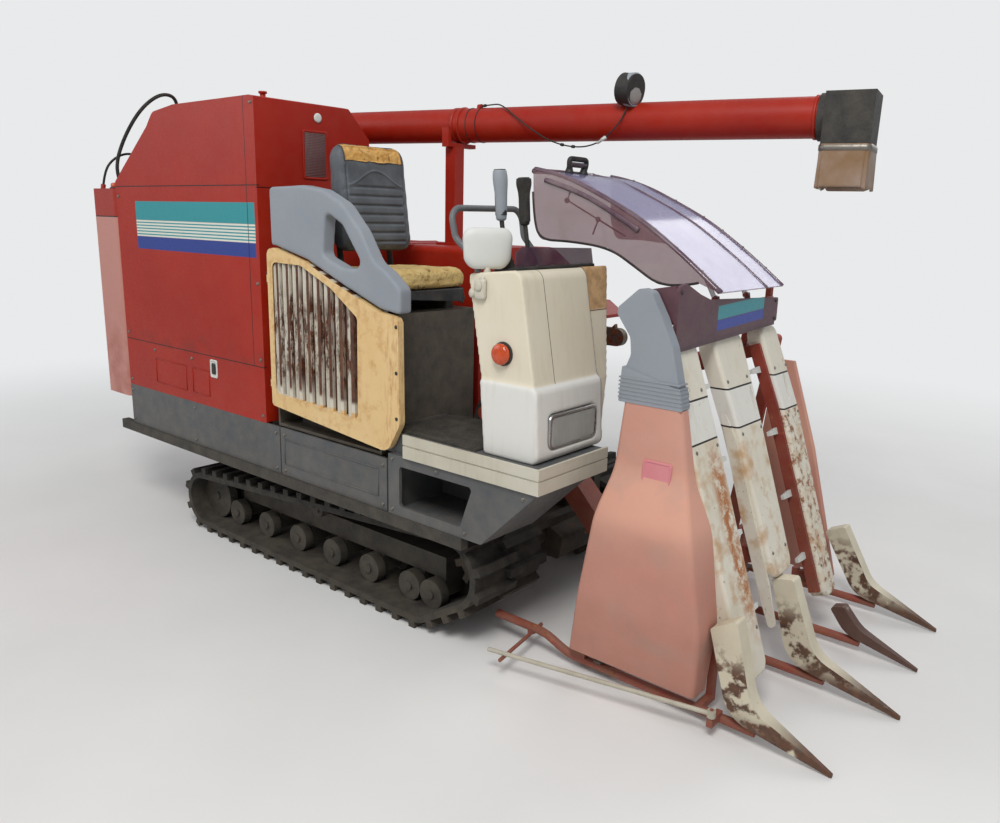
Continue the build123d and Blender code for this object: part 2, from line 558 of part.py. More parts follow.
# Seat: a frame on the housing's roof, a pad, a back and its carrier
SEAT_Y = (SEAT_MIDDLE_Y - SEAT_W / 2, SEAT_MIDDLE_Y + SEAT_W / 2)
SOFT_GAP = 0.3
SEAT_RAIL_W = 40
with BuildPart() as seat_frame:
    for y in (SEAT_Y[0] + 60, SEAT_Y[1] - 60):
        block((SEAT_REAR_X, SEAT_FRONT_X - 60), (y - SEAT_RAIL_W / 2, y + SEAT_RAIL_W / 2),
              (HOUSING_TOP, SEAT_LOW - 20))
    block((SEAT_REAR_X - 40, SEAT_FRONT_X - 30), (SEAT_Y[0] + 20, SEAT_Y[1] - 20), (SEAT_LOW - 20, SEAT_LOW - SOFT_GAP))
    for y in (SEAT_Y[0] + 70, SEAT_Y[1] - 70):
        rod((SEAT_REAR_X - 25, y, SEAT_LOW - 20), (SEAT_REAR_X - 75, y, BACK_LOW + 160), 12)
finish(seat_frame, "seat_frame")

with BuildPart() as seat_pad:
    block((SEAT_REAR_X, SEAT_FRONT_X), SEAT_Y, (SEAT_LOW, SEAT_LOW + SEAT_PAD_T))
    fillet(seat_pad.edges().filter_by(Axis.Z), 45)
    fillet(seat_pad.faces().sort_by(Axis.Z)[-1].edges(), 26)
finish(seat_pad, "seat_pad")

BACK_LEAN = 6           # degrees
with BuildPart() as seat_back:
    back_x = SEAT_REAR_X - 40
    drop = (BACK_TOP - BACK_LOW) * tan(radians(BACK_LEAN))
    slab_y(((back_x, BACK_LOW), (back_x + BACK_T, BACK_LOW), (back_x + BACK_T - drop, BACK_TOP),
            (back_x - drop + 20, BACK_TOP)), SEAT_Y[0], SEAT_Y[1], corner=(20, 30, 34, 20))
    for y in (SEAT_Y[0] + 70, SEAT_Y[1] - 70):
        rod((SEAT_REAR_X - 25, y, SEAT_LOW - 20), (SEAT_REAR_X - 75, y, BACK_LOW + 160), 12 + SOFT_GAP,
            mode=Mode.SUBTRACT)
finish(seat_back, "seat_back")

GLAND_REACH = 22        # of a cord's gland into what carries it

# Grain tank with its falling rear roof, and a sloped top edge on the auger's side
TANK_SIDE = (  # x, z
    (TANK_FRONT_X, TANK_LOW), (TANK_FRONT_X, TANK_TOP - 6), (-531, TANK_TOP), (-1129, TANK_TOP), (-1320, 2044),
    (-1384, 1981), (TANK_REAR_X, 1732), (TANK_REAR_X, TANK_LOW),
)
TANK_SLOPE = 130        # width of the sloped edge

# Hoses between the tank's rear wall and the corner box: routes from end to end
HOSE_UPPER_R = 9
HOSE_UPPER = (
    (-1754, -400, 1600), (-1850, -400, 1604), (-1928, -398, 1668), (-1958, -396, 1780), (-1958, -394, 1920),
    (-1930, -392, 2040), (-1880, -394, 2110), (-1830, -412, 2158), (-1797, -455, 2192), (-1783, -520, 2192),
    (-1788, -582, 2157), (-1803, -640, 2097), (-1822, -690, 2015), (-1838, -730, 1928), (-1848, -757, 1846),
    (-1850, -762, 1773), (-1847, -745, 1714),
)
HOSE_LOWER_R = 6
HOSE_LOWER = (
    (-1752, -470, 1650), (-1815, -474, 1654), (-1862, -484, 1700), (-1880, -510, 1768), (-1878, -560, 1836),
    (-1872, -622, 1876), (-1878, -694, 1886), (-1892, -760, 1850), (-1904, -800, 1790), (-1908, -811, 1722),
)
with BuildPart() as grain_tank:
    slab_y(TANK_SIDE, SIDE_Y, TANK_LEFT_Y, corner=(4, 4, 30, 60, 60, 40, 20, 4))
    slab_x(((SIDE_Y, TANK_LOW), (SIDE_Y, TANK_TOP + 5), (TANK_LEFT_Y - TANK_SLOPE, TANK_TOP + 5),
            (TANK_LEFT_Y, TANK_TOP - TANK_SLOPE), (TANK_LEFT_Y, TANK_LOW)),
           TANK_REAR_X, TANK_FRONT_X, mode=Mode.INTERSECT)
    block((TANK_REAR_X - 5, AUGER_X + TUBE_R + 20), (AUGER_Y - TUBE_R - 20, TANK_LEFT_Y + 5),
          (TANK_LOW - 5, TANK_TOP), mode=Mode.SUBTRACT)
    gland(HOSE_UPPER, 0, 2 * HOSE_UPPER_R, GLAND_REACH)
    gland(HOSE_LOWER, 0, 2 * HOSE_LOWER_R, GLAND_REACH)
finish(grain_tank, "grain_tank")

# Rear corner box behind the tank
CORNER_BOX_REAR_X = TANK_REAR_X - 250
with BuildPart() as rear_corner_box:
    block((CORNER_BOX_REAR_X, TANK_REAR_X), (SIDE_Y - 8, -560), (620, CORNER_BOX_TOP))
    fillet(rear_corner_box.edges().filter_by(Axis.Z), 30)
    gland(HOSE_UPPER, -1, 2 * HOSE_UPPER_R, 2 * GLAND_REACH)
    gland(HOSE_LOWER, -1, 2 * HOSE_LOWER_R, 2 * GLAND_REACH)
finish(rear_corner_box, "rear_corner_box")

for name, route, radius in (("hose_upper", HOSE_UPPER, HOSE_UPPER_R), ("hose_lower", HOSE_LOWER, HOSE_LOWER_R)):
    bends = cord_bends(route)
    print(name, "bend radii", [round(bend) for bend in bends])
    with BuildPart() as hose:
        bent_rod(route, bends, radius)
    finish(hose, name)

# Threshing body with its fixed front roof, and the opening cover over the drum
COVER_HINGE = (THRESHER_RIGHT_Y + 40, THRESHER_ROOF + 12)      # y, z
COVER_GAP = 8
COVER_HINGES_X = (-1250, -500)
COVER_SHEET = 4
DRUM_Z = 1190
THRESHING_DRUM_R = 150
DRUM_RINGS = 9          # toothed rings along the drum
DRUM_RING_PITCH = 130
with BuildPart() as threshing_body:
    block((THRESHER_REAR_X, THRESHER_FRONT_X), (THRESHER_RIGHT_Y, THRESHER_LEFT_Y),
          (THRESHER_LOW, THRESHER_SILL))
    slab_x(((THRESHER_RIGHT_Y, THRESHER_SILL - 1), (THRESHER_RIGHT_Y, THRESHER_ROOF), (330, THRESHER_ROOF),
            (540, THRESHER_ROOF - 120), (560, THRESHER_SILL - 1)), ROOF_SPLIT_X, THRESHER_FRONT_X,
           corner=(1, 30, 120, 80, 1))
    block((THRESHER_REAR_X, ROOF_SPLIT_X), (THRESHER_RIGHT_Y, COVER_HINGE[0] - 16), (THRESHER_SILL - 1, THRESHER_ROOF))
    drum_y = (THRESHER_RIGHT_Y + THRESHER_LEFT_Y) / 2 - 25
    rod((THRESHER_REAR_X + 40, drum_y, DRUM_Z), (ROOF_SPLIT_X - 40, drum_y, DRUM_Z), THRESHING_DRUM_R)
    for i in range(DRUM_RINGS):
        x = THRESHER_REAR_X + 90 + i * DRUM_RING_PITCH
        rod((x, drum_y, DRUM_Z), (x + 8, drum_y, DRUM_Z), THRESHING_DRUM_R + 34)
    for x in COVER_HINGES_X:
        rod((x - 40, *COVER_HINGE), (x + 40, *COVER_HINGE), HINGE_PIN_R)
        for low in (x - 40, x + 28):
            block((low, low + 12), (COVER_HINGE[0] - 36, COVER_HINGE[0] - 16), (THRESHER_ROOF - 10, COVER_HINGE[1] + 8))
            block((low, low + 12), (COVER_HINGE[0] - 36, COVER_HINGE[0] + 5), (COVER_HINGE[1] - 4, COVER_HINGE[1] + 8))
    block((-1600, THRESHER_REAR_X + 1), (THRESHER_RIGHT_Y, THRESHER_LEFT_Y), (THRESHER_LOW, 1000))
finish(threshing_body, "threshing_body")

with BuildPart() as threshing_cover:
    cover_low, cover_right = THRESHER_SILL + COVER_GAP, COVER_HINGE[0] - 10
    cover_x = (THRESHER_REAR_X + 10, ROOF_SPLIT_X - 6)
    slab_x(((cover_right, cover_low), (cover_right, THRESHER_ROOF), (330, THRESHER_ROOF), (540, THRESHER_ROOF - 120),
            (560, cover_low)), *cover_x, corner=(1, 30, 120, 80, 1))
    slab_x(((cover_right + COVER_SHEET, cover_low - 1), (cover_right + COVER_SHEET, THRESHER_ROOF - COVER_SHEET),
            (328, THRESHER_ROOF - COVER_SHEET), (536, THRESHER_ROOF - 122), (556, cover_low - 1)),
           cover_x[0] + COVER_SHEET, cover_x[1] - COVER_SHEET, corner=(1, 26, 116, 76, 1), mode=Mode.SUBTRACT)
    block((cover_x[0] + COVER_SHEET, cover_x[1] - COVER_SHEET), (cover_right - 1, cover_right + COVER_SHEET + 1),
          (cover_low - 1, THRESHER_ROOF - 60), mode=Mode.SUBTRACT)
    for x in COVER_HINGES_X:
        block((x - 26, x + 26), (COVER_HINGE[0] - KNUCKLE_R, COVER_HINGE[0] + KNUCKLE_R),
              (THRESHER_ROOF - 24, COVER_HINGE[1]))
        rod((x - 26, *COVER_HINGE), (x + 26, *COVER_HINGE), KNUCKLE_R)
        rod((x - 40, *COVER_HINGE), (x + 40, *COVER_HINGE), HINGE_PIN_R + RUNNING, mode=Mode.SUBTRACT)
finish(threshing_cover, "threshing_cover")

# Feed chain along the left side, with its guide rail and cover
CHAIN_Y = (690, 730)
CHAIN_Z = 1060
with BuildPart() as feed_chain:
    with BuildSketch(Plane.XZ.offset(-CHAIN_Y[1])) as chain_loop:
        for x in (-1480, 330):
            with Locations((x, CHAIN_Z - 40)):
                Circle(45)
        make_hull()
    extrude(chain_loop.sketch, amount=CHAIN_Y[1] - CHAIN_Y[0])
    for i in range(24):
        x = -1460 + i * 76
        slab_y(((x, CHAIN_Z), (x + 30, CHAIN_Z), (x + 26, CHAIN_Z + 26)), CHAIN_Y[0] + 8, CHAIN_Y[1] - 8)
    block((-1400, 250), (THRESHER_LEFT_Y, CHAIN_Y[0] + 2), (CHAIN_Z - 60, CHAIN_Z - 20))
finish(feed_chain, "feed_chain")

# Left side covers below the feed chain
with BuildPart() as left_cover:
    slab_y(((-1480, 600), (150, 600), (150, 930), (-1480, 930)), THRESHER_LEFT_Y, LEFT_Y - 30, corner=50)
    slab_y(((-1480, 1190), (180, 1190), (300, 1110), (-1480, 1110)), CHAIN_Y[0] - 20, LEFT_Y, corner=12)
    block((-1440, -1400), (LEFT_Y - 60, LEFT_Y - 34), (925, 1115))
    block((100, 140), (LEFT_Y - 60, LEFT_Y - 34), (925, 1115))
finish(left_cover, "left_cover")

# Straw cutter and its outlet at the rear
with BuildPart() as straw_cutter:
    slab_y(((REAR_X, 640), (-1600, 560), (-1600, 1250), (-1760, 1330), (REAR_X + 60, 1250), (REAR_X, 1150)),
           AUGER_Y + TUBE_R + 25, THRESHER_LEFT_Y + 60, corner=20)
finish(straw_cutter, "straw_cutter")

# Fixed auger pipe behind the tank, standing on the frame
AUGER_SPLIT_Z = 1640    # top of the fixed pipe
SPIGOT_R = 50           # shaft on which the elbow turns
SPIGOT_L = 34
with BuildPart() as auger_post:
    rod((AUGER_X, AUGER_Y, DECK_HIGH), (AUGER_X, AUGER_Y, AUGER_SPLIT_Z), TUBE_R - 8)
    rod((AUGER_X, AUGER_Y, AUGER_SPLIT_Z - 40), (AUGER_X, AUGER_Y, AUGER_SPLIT_Z), TUBE_R + 8)
    rod((AUGER_X, AUGER_Y, AUGER_SPLIT_Z), (AUGER_X, AUGER_Y, AUGER_SPLIT_Z + SPIGOT_L), SPIGOT_R)
finish(auger_post, "auger_post")

# Auger rest: a post on the thresher's roof with a fork that is open towards the left
REST_X = -170
REST_Y = 15
FORK_Z = AUGER_Z - (REST_X - AUGER_X) * tan(radians(AUGER_DROP)) - TUBE_R
REST_GAP = 0.3
FORK_W = 120
with BuildPart() as auger_rest:
    block((REST_X - 30, REST_X + 30), (REST_Y - 30, REST_Y + 30), (THRESHER_ROOF, FORK_Z - 24))
    block((REST_X - 60, REST_X + 60), (REST_Y - 60, REST_Y + 60), (THRESHER_ROOF, THRESHER_ROOF + 10))
    tube_y = AUGER_Y + (REST_X - AUGER_X) * tan(radians(AUGER_YAW))
    block((REST_X - 20, REST_X + 20), (tube_y - TUBE_R - 40, tube_y + 70), (FORK_Z - 24, FORK_Z - 6))
    block((REST_X - 20, REST_X + 20), (tube_y - TUBE_R - 40, tube_y - TUBE_R - 22), (FORK_Z - 24, FORK_Z + 60))
finish(auger_rest, "auger_rest")

# Auger: the parts above the fixed pipe are drawn along +X from the elbow and then turned into place,
# the mast's by the yaw and the boom's by the yaw and then the drop about the boom's own pin
MAST_PLACE = Location((AUGER_X, AUGER_Y, AUGER_Z), (0, 0, AUGER_YAW))
BOOM_PLACE = MAST_PLACE * Location((0, 0, 0), (0, AUGER_DROP, 0))
DRUM_R = 96
DRUM_W = 150
EAR_T = 10
TURN_GAP = 2
CYL_SIDE = 118          # cylinder's middle, to the left of the tube's axis
CYL_FOOT = (95, AUGER_SPLIT_Z + 60 - AUGER_Z)   # along the tube and up, from the elbow
CYL_HEAD = (420, -112)
CYL_R = 22
ROD_R = 12
PIN_R = 9
EYE_R = 20              # bore of the rod's eye, wide enough for the open linkage's drift
with BuildPart() as auger_elbow:
    rod((0, 0, AUGER_SPLIT_Z + TURN_GAP - AUGER_Z), (0, 0, -DRUM_R + 20), TUBE_R)
    rod((0, 0, AUGER_SPLIT_Z + TURN_GAP - AUGER_Z), (0, 0, AUGER_SPLIT_Z + 42 - AUGER_Z), TUBE_R + 8)
    rod((0, -DRUM_W / 2, 0), (0, DRUM_W / 2, 0), DRUM_R)
    rod((0, -DRUM_W / 2 - EAR_T - 12, 0), (0, DRUM_W / 2 + EAR_T + 12, 0), 26)
    slab_y(((TUBE_R - 14, CYL_FOOT[1] - 30), (CYL_FOOT[0] + 22, CYL_FOOT[1] - 22), (CYL_FOOT[0] + 22, CYL_FOOT[1] + 22),
            (TUBE_R - 14, CYL_FOOT[1] + 60)), 20, CYL_SIDE - CYL_R - 4)
    block((0, TUBE_R - 10), (20, CYL_SIDE - CYL_R - 4), (CYL_FOOT[1] - 30, CYL_FOOT[1] + 60))
    rod((CYL_FOOT[0], CYL_SIDE - CYL_R - 6, CYL_FOOT[1]), (CYL_FOOT[0], CYL_SIDE + CYL_R + 6, CYL_FOOT[1]), PIN_R)
    rod((0, 0, AUGER_SPLIT_Z - AUGER_Z), (0, 0, AUGER_SPLIT_Z + SPIGOT_L + TURN_GAP - AUGER_Z), SPIGOT_R + RUNNING,
        mode=Mode.SUBTRACT)
finish(auger_elbow, "auger_elbow", MAST_PLACE)

# The lamp's cable runs from a clip on the tube's top, down beside the tube and up to the lamp
CABLE_R = 3
CABLE = (  # along the tube, across and up from its axis
    (1746, -6, 83), (1800, -14, 86), (1860, -42, 84), (1922, -74, 54), (1990, -90, 8), (2062, -92, -38),
    (2138, -87, -78), (2220, -84, -101), (2305, -86, -106), (2380, -92, -84), (2436, -96, -38), (2468, -90, 8),
    (2476, -65, 54.3),
)
TUBE_START = DRUM_R + 26
with BuildPart() as auger_tube:
    rod((TUBE_START, 0, 0), (TUBE_LENGTH, 0, 0), TUBE_R)
    rod((TUBE_START, 0, 0), (TUBE_START + 16, 0, 0), TUBE_R + 26)
    for side in (-1, 1):
        inner = DRUM_W / 2 + 2
        low, high = sorted((side * inner, side * (inner + EAR_T)))
        with BuildSketch(Plane.XZ.offset(-high)) as ear:
            Circle(DRUM_R - 4)
            with Locations(((TUBE_START + 16) / 2, 0)):
                Rectangle(TUBE_START + 16, 2 * DRUM_R - 30)
            Circle(26 + RUNNING, mode=Mode.SUBTRACT)
        extrude(ear.sketch, amount=EAR_T)
    block((CYL_HEAD[0] - 40, CYL_HEAD[0] + 40), (20, CYL_SIDE - CYL_R - 4), (CYL_HEAD[1] - 20, -40))
    rod((CYL_HEAD[0], CYL_SIDE - CYL_R - 6, CYL_HEAD[1]), (CYL_HEAD[0], CYL_SIDE + CYL_R + 6, CYL_HEAD[1]), PIN_R)
    gland(CABLE, 0, 3 * CABLE_R, GLAND_REACH)
    block((CABLE[0][0] - GLAND_REACH, CABLE[0][0] - 6), (CABLE[0][1] - 8, CABLE[0][1] + 8), (TUBE_R - 6, CABLE[0][2]))
finish(auger_tube, "auger_tube", BOOM_PLACE)

# Spout at the auger's end and its hanging soft chute
SPOUT_W = 180
SPOUT_L = 170
CHUTE_LOW = -262
with BuildPart() as spout:
    block((TUBE_LENGTH + 1, TUBE_LENGTH + SPOUT_L), (-SPOUT_W / 2, SPOUT_W / 2), (-100, TUBE_R + 6))
    block((TUBE_LENGTH + 8, TUBE_LENGTH + SPOUT_L - 8), (-SPOUT_W / 2 + 8, SPOUT_W / 2 - 8), (-130, TUBE_R - 2),
          mode=Mode.SUBTRACT)
    rod((TUBE_LENGTH - 24, 0, 0), (TUBE_LENGTH + 1, 0, 0), TUBE_R + 10)
    rod((TUBE_LENGTH - 26, 0, 0), (TUBE_LENGTH + 12, 0, 0), TUBE_R, mode=Mode.SUBTRACT)
finish(spout, "spout", BOOM_PLACE)

with BuildPart() as chute:
    block((TUBE_LENGTH - 4, TUBE_LENGTH + SPOUT_L + 5), (-SPOUT_W / 2 - 4, SPOUT_W / 2 + 4), (CHUTE_LOW, -98))
    block((TUBE_LENGTH, TUBE_LENGTH + SPOUT_L + 1), (-SPOUT_W / 2 - 0.3, SPOUT_W / 2 + 0.3), (CHUTE_LOW - 5, -90),
          mode=Mode.SUBTRACT)
finish(chute, "chute", BOOM_PLACE)

# Work lamp on a stalk beside the tube
LAMP_AT = (2480, -58, 112)
with BuildPart() as work_lamp:
    rod((LAMP_AT[0], -20, TUBE_R - 4), (LAMP_AT[0], -20, LAMP_AT[2] - 30), 9)
    rod((LAMP_AT[0], -20, TUBE_R + 26), (LAMP_AT[0] + 10, LAMP_AT[1], LAMP_AT[2]), 9)
    rod((LAMP_AT[0] - 30, LAMP_AT[1], LAMP_AT[2] + 10), (LAMP_AT[0] + 30, LAMP_AT[1] - 14, LAMP_AT[2]), 62)
    rod((0, 0, 0), (TUBE_LENGTH, 0, 0), TUBE_R + RUNNING, mode=Mode.SUBTRACT)
finish(work_lamp, "work_lamp", BOOM_PLACE)

cable_bends = cord_bends(CABLE)
print("lamp_cable bend radii", [round(bend) for bend in cable_bends])
with BuildPart() as lamp_cable:
    bent_rod(CABLE, cable_bends, CABLE_R)
finish(lamp_cable, "lamp_cable", BOOM_PLACE)

# Lift cylinder of the auger
stowed = radians(AUGER_DROP)
head_x = CYL_HEAD[0] * cos(stowed) + CYL_HEAD[1] * sin(stowed)
head_z = CYL_HEAD[1] * cos(stowed) - CYL_HEAD[0] * sin(stowed)
cyl_dx = head_x - CYL_FOOT[0]
cyl_dz = head_z - CYL_FOOT[1]
CYL_LENGTH = hypot(cyl_dx, cyl_dz)


def along(start, run, rise, distance, y):
    """A point at a distance along a line in the X-Z plane."""
    length = hypot(run, rise)
    return (start[0] + run / length * distance, y, start[1] + rise / length * distance)


BARREL_SHARE = 0.66     # of the cylinder's stowed length
with BuildPart() as auger_cylinder:
    rod(along(CYL_FOOT, cyl_dx, cyl_dz, 20, CYL_SIDE), along(CYL_FOOT, cyl_dx, cyl_dz, BARREL_SHARE * CYL_LENGTH, CYL_SIDE),
        CYL_R)
    rod((CYL_FOOT[0], CYL_SIDE - 18, CYL_FOOT[1]), (CYL_FOOT[0], CYL_SIDE + 18, CYL_FOOT[1]), CYL_R)
    rod((CYL_FOOT[0], CYL_SIDE - 30, CYL_FOOT[1]), (CYL_FOOT[0], CYL_SIDE + 30, CYL_FOOT[1]), PIN_R + RUNNING,
        mode=Mode.SUBTRACT)
    rod(along(CYL_FOOT, cyl_dx, cyl_dz, 60, CYL_SIDE), along(CYL_FOOT, cyl_dx, cyl_dz, CYL_LENGTH, CYL_SIDE),
        ROD_R + RUNNING, mode=Mode.SUBTRACT)
finish(auger_cylinder, "auger_cylinder", MAST_PLACE)

with BuildPart() as auger_rod:
    rod(along(CYL_FOOT, cyl_dx, cyl_dz, 61, CYL_SIDE), along(CYL_FOOT, cyl_dx, cyl_dz, CYL_LENGTH - 22, CYL_SIDE), ROD_R)
    rod((head_x, CYL_SIDE - 14, head_z), (head_x, CYL_SIDE + 14, head_z), EYE_R + 9)
    rod((head_x, CYL_SIDE - 20, head_z), (head_x, CYL_SIDE + 20, head_z), EYE_R, mode=Mode.SUBTRACT)
finish(auger_rod, "auger_rod", MAST_PLACE)

# Header. The raising cases stand in one leaning plane; drawn places on it are across and along its slope
SLOPE = hypot(1, CASE_FOOT_SLOPE)
CASE_PLANE = Plane(origin=(CASE_TOP_X, 0, CASE_TOP_Z), x_dir=(0, 1, 0), z_dir=(1, 0, CASE_FOOT_SLOPE))
CASES = (  # height of the foot, then places across of the right and the left edge at top, waist and foot
    (160, (-532, -556, -556), (-361, -360, -392)),
    (386, (-243, -207, -204), (-12, -8, -36)),
    (200, (158, 201, 182), (306, 345, 300)),
)
WAIST_Z = 904
SEAMS_Z = (1035, WAIST_Z)       # between the panels that make up a case
SEAM_W = 4
SEAM_DEEP = 4
SLOTS = ((-42, 975), (272, 983))        # across, height
SLOT = (11, 54)                 # half width, half height
SLOT_DEEP = 20
LEAF = (  # height, depth behind the cases' plane
    (205, 62), (222, 34), (360, 22), (860, 18), (955, 34), (940, 52), (600, 66), (300, 66),
)


def down(z):
    """Distance along the leaning plane for a height."""
    return (z - CASE_TOP_Z) * SLOPE


def face_x(z, depth=0):
    """Place along the machine at a height and a depth behind the cases' front plane."""
    return CASE_TOP_X + (CASE_TOP_Z - z) * CASE_FOOT_SLOPE - depth * SLOPE


with BuildPart() as raising_cases:
    for foot, right, left in CASES:
        low, waist = down(foot), down(WAIST_Z)
        with BuildSketch(CASE_PLANE) as front:
            outline(((right[2], low), (left[2], low), (left[1], waist), (left[0], 0), (right[0], 0), (right[1], waist)),
                    (44, 44, 20, 44, 44, 20))
        extrude(front.sketch, amount=-CASE_DEPTH)
    fillet(raising_cases.faces().sort_by(Axis((0, 0, 0), CASE_PLANE.z_dir))[-3:].edges(), 14)
    for foot, right, left in CASES:
        for z in SEAMS_Z:
            with BuildSketch(CASE_PLANE) as seam:
                with Locations(((right[1] + left[1]) / 2, down(z))):
                    Rectangle(left[1] - right[1] + 80, SEAM_W)
            extrude(seam.sketch, amount=-SEAM_DEEP, mode=Mode.SUBTRACT)
    for y, z in SLOTS:
        with BuildSketch(CASE_PLANE) as slot:
            with Locations((y, down(z))):
                Ellipse(*SLOT)
        extrude(slot.sketch, amount=-SLOT_DEEP, mode=Mode.SUBTRACT)
    leaf_y = CASES[1][1][1] - 7
    slab_y([(face_x(z, depth), z) for z, depth in LEAF], leaf_y, leaf_y + 10, corner=12)
finish(raising_cases, "raising_cases")

# Raising rails: a guide rail along one side of each case, and the tines of two of them over the row beside it
RAIL_T = 16
RAIL_IN = 16            # behind the cases' front plane
RAIL_DEEP = 42
TINE_LENGTH = 74
TINE_W = 26
TINE_T = 12
RAILS = (  # case, side of the case (1 is its left), number of tines
    (0, 1, 4),
    (1, 1, 0),
    (2, -1, 4),
)


def case_edge(case, side, z):
    """Place across of a case's right or left edge at a height."""
    foot, right, left = CASES[case]
    top_y, waist_y, foot_y = left if side > 0 else right
    return height_on(((foot, foot_y), (WAIST_Z, waist_y), (CASE_TOP_Z, top_y)), z)


with BuildPart() as raising_rails:
    for case, side, count in RAILS:
        heights = (CASES[case][0] + 30, WAIST_Z, CASE_TOP_Z - 60)
        near = [(case_edge(case, side, z) + side * SEAT_GAP, down(z)) for z in heights]
        far = [(y + side * RAIL_T, along_z) for y, along_z in reversed(near)]
        with BuildSketch(CASE_PLANE.offset(-RAIL_IN)) as rail:
            outline((*near, *far))
        extrude(rail.sketch, amount=-RAIL_DEEP)
finish(raising_rails, "raising_rails")

with BuildPart() as raising_tines:
    for case, side, count in RAILS:
        low, high = CASES[case][0] + 30, CASE_TOP_Z - 60
        for i in range(count):
            z = low + (high - low) * (i + 0.6) / count
            ends = [case_edge(case, side, z + step) for step in (-TINE_W / 2, TINE_W / 2)]
            edge = max(ends) if side > 0 else min(ends)
            root = edge + side * (RAIL_T + 2 * SEAT_GAP)
            with BuildSketch(CASE_PLANE.offset(-RAIL_IN - RAIL_DEEP / 2)) as tine:
                with Locations((root + side * TINE_LENGTH / 2, down(z))):
                    Trapezoid(TINE_W, TINE_LENGTH, 86, rotation=-90 * side)
            extrude(tine.sketch, amount=-TINE_T)
finish(raising_tines, "raising_tines")

# Right side cover: horizontal sections from the foot to the neck, hollow and open inwards and below
COVER_T = 6
RIGHT_CORNER = 18
RIGHT_SECTIONS = (  # height, rear, front, outer, inner
    (96, 1030, 1528, -640, -557),
    (340, 1086, 1552, -690, -557),
    (650, 1144, 1506, -700, -557),
    (795, 1160, 1436, -612, -557),
    (1022, 1178, 1392, -600, -557),
)


def section(z, rear, front, outer, inner, corner):
    """A rounded rectangle at one height."""
    with BuildSketch(Plane.XY.offset(z)) as face:
        outline(((rear, outer), (front, outer), (front, inner), (rear, inner)), corner)
    return face.sketch


with BuildPart() as side_cover_right:
    loft([section(*row, RIGHT_CORNER) for row in RIGHT_SECTIONS], ruled=True)
    for row, above in zip(RIGHT_SECTIONS, RIGHT_SECTIONS[1:]):
        inside = []
        for (z, rear, front, outer, inner), shift in ((row, -1), (above, 1)):
            inside.append(section(z, rear + COVER_T, front - COVER_T, outer + COVER_T, inner + 40, 16))
        loft(inside, ruled=True, mode=Mode.SUBTRACT)
finish(side_cover_right, "side_cover_right")

# Ribbed band and bent cap above the right side cover
BAND_Y = (-602, -550)
BAND_RIBS = 6
with BuildPart() as cover_cap:
    slab_y(((1160, 1022.3), (1394, 1022.3), (1381, 1090), (1168, 1142)), BAND_Y[0], BAND_Y[1], corner=6)
    for i in range(BAND_RIBS):
        z = 1036 + i * 13
        lean = (z - 1022) * 0.2
        block((1159, 1396 - lean), (BAND_Y[0] - 2, BAND_Y[1]), (z, z + 5))
    slab_y(((1168, 1110), (1382, 1070), (1344, 1219), (1300, 1310), (1255, 1386), (1215, 1394), (1140, 1330),
            (1138, 1305), (1190, 1236), (1196, 1180)), BAND_Y[0] + 4, BAND_Y[1] - 4,
           corner=(4, 10, 40, 40, 24, 20, 4, 8, 40, 40))
finish(cover_cap, "cover_cap")

# Left side cover
with BuildPart() as side_cover_left:
    rows = ((96, 1086, 1530, 690, 662), (650, 1144, 1384, 690, 662), (1020, 1178, 1262, 682, 662))
    loft([section(z, rear, front, inner, outer, 6) for z, rear, front, outer, inner in rows], ruled=True)
finish(side_cover_left, "side_cover_left")

# Front panel above the cases, with a rubber strip along its lower edge
PANEL_X = 1312
PANEL_T = 14
PANEL_RIGHT_Y = -547
RETURN_T = 8            # side that runs back from the panel's right edge
with BuildPart() as front_panel:
    slab_x(((PANEL_RIGHT_Y, 1206), (PANEL_RIGHT_Y, 1400), (-500, 1411), (-400, 1372), (-323, 1350), (250, 1326),
            (250, 1237)), PANEL_X, PANEL_X + PANEL_T, corner=(6, 14, 20, 60, 30, 10, 10))
    slab_x(((PANEL_RIGHT_Y, 1190), (PANEL_RIGHT_Y, 1210), (246, 1241), (246, 1221)), PANEL_X + 2, PANEL_X + 8)
    slab_y(((1204, 1320), (1184, 1366), (1200, 1384), (PANEL_X + 2, 1406), (PANEL_X + 2, 1290)),
           PANEL_RIGHT_Y, PANEL_RIGHT_Y + RETURN_T)
finish(front_panel, "front_panel")

# Dividers: curved beaks from the cases' feet down to the ground
DIVIDERS = (  # across, rear edge at the root, rear elbow, tip, front elbow, front edge at the root, width
    (-589, (1556, 352), (1636, 76), 1965, (1712, 128), (1642, 405), 60),
    (-134, (1566, 374), (1650, 84), FRONT_X, (1740, 132), (1643, 388), 60),
    (235, (1664, 158), (1730, 70), 1994, (1780, 100), (1716, 174), 46),
    (624, (1496, 318), (1640, 76), 1968, (1700, 130), (1574, 356), 60),
)
TIP_W = 10
TIP_H = 12


def divider(y, root_rear, elbow_rear, tip_x, elbow_front, root_front, width):
    """One beak: its side outline cut to a taper seen from above."""
    with BuildPart() as beak:
        slab_y((root_rear, elbow_rear, (tip_x, 0), (tip_x, TIP_H), elbow_front, root_front),
               y - width / 2, y + width / 2, corner=(10, 110, 2, 4, 120, 10))
        slab_z(((root_rear[0] - 5, y - width / 2), (elbow_front[0], y - width / 2), (tip_x + 1, y - TIP_W / 2),
                (tip_x + 1, y + TIP_W / 2), (elbow_front[0], y + width / 2), (root_rear[0] - 5, y + width / 2)),
               -1, root_front[1] + 30, mode=Mode.INTERSECT)
    return beak.part


BEAKS = [divider(*row) for row in DIVIDERS]
with BuildPart() as dividers:
    for beak in BEAKS:
        add(beak)
finish(dividers, "dividers")

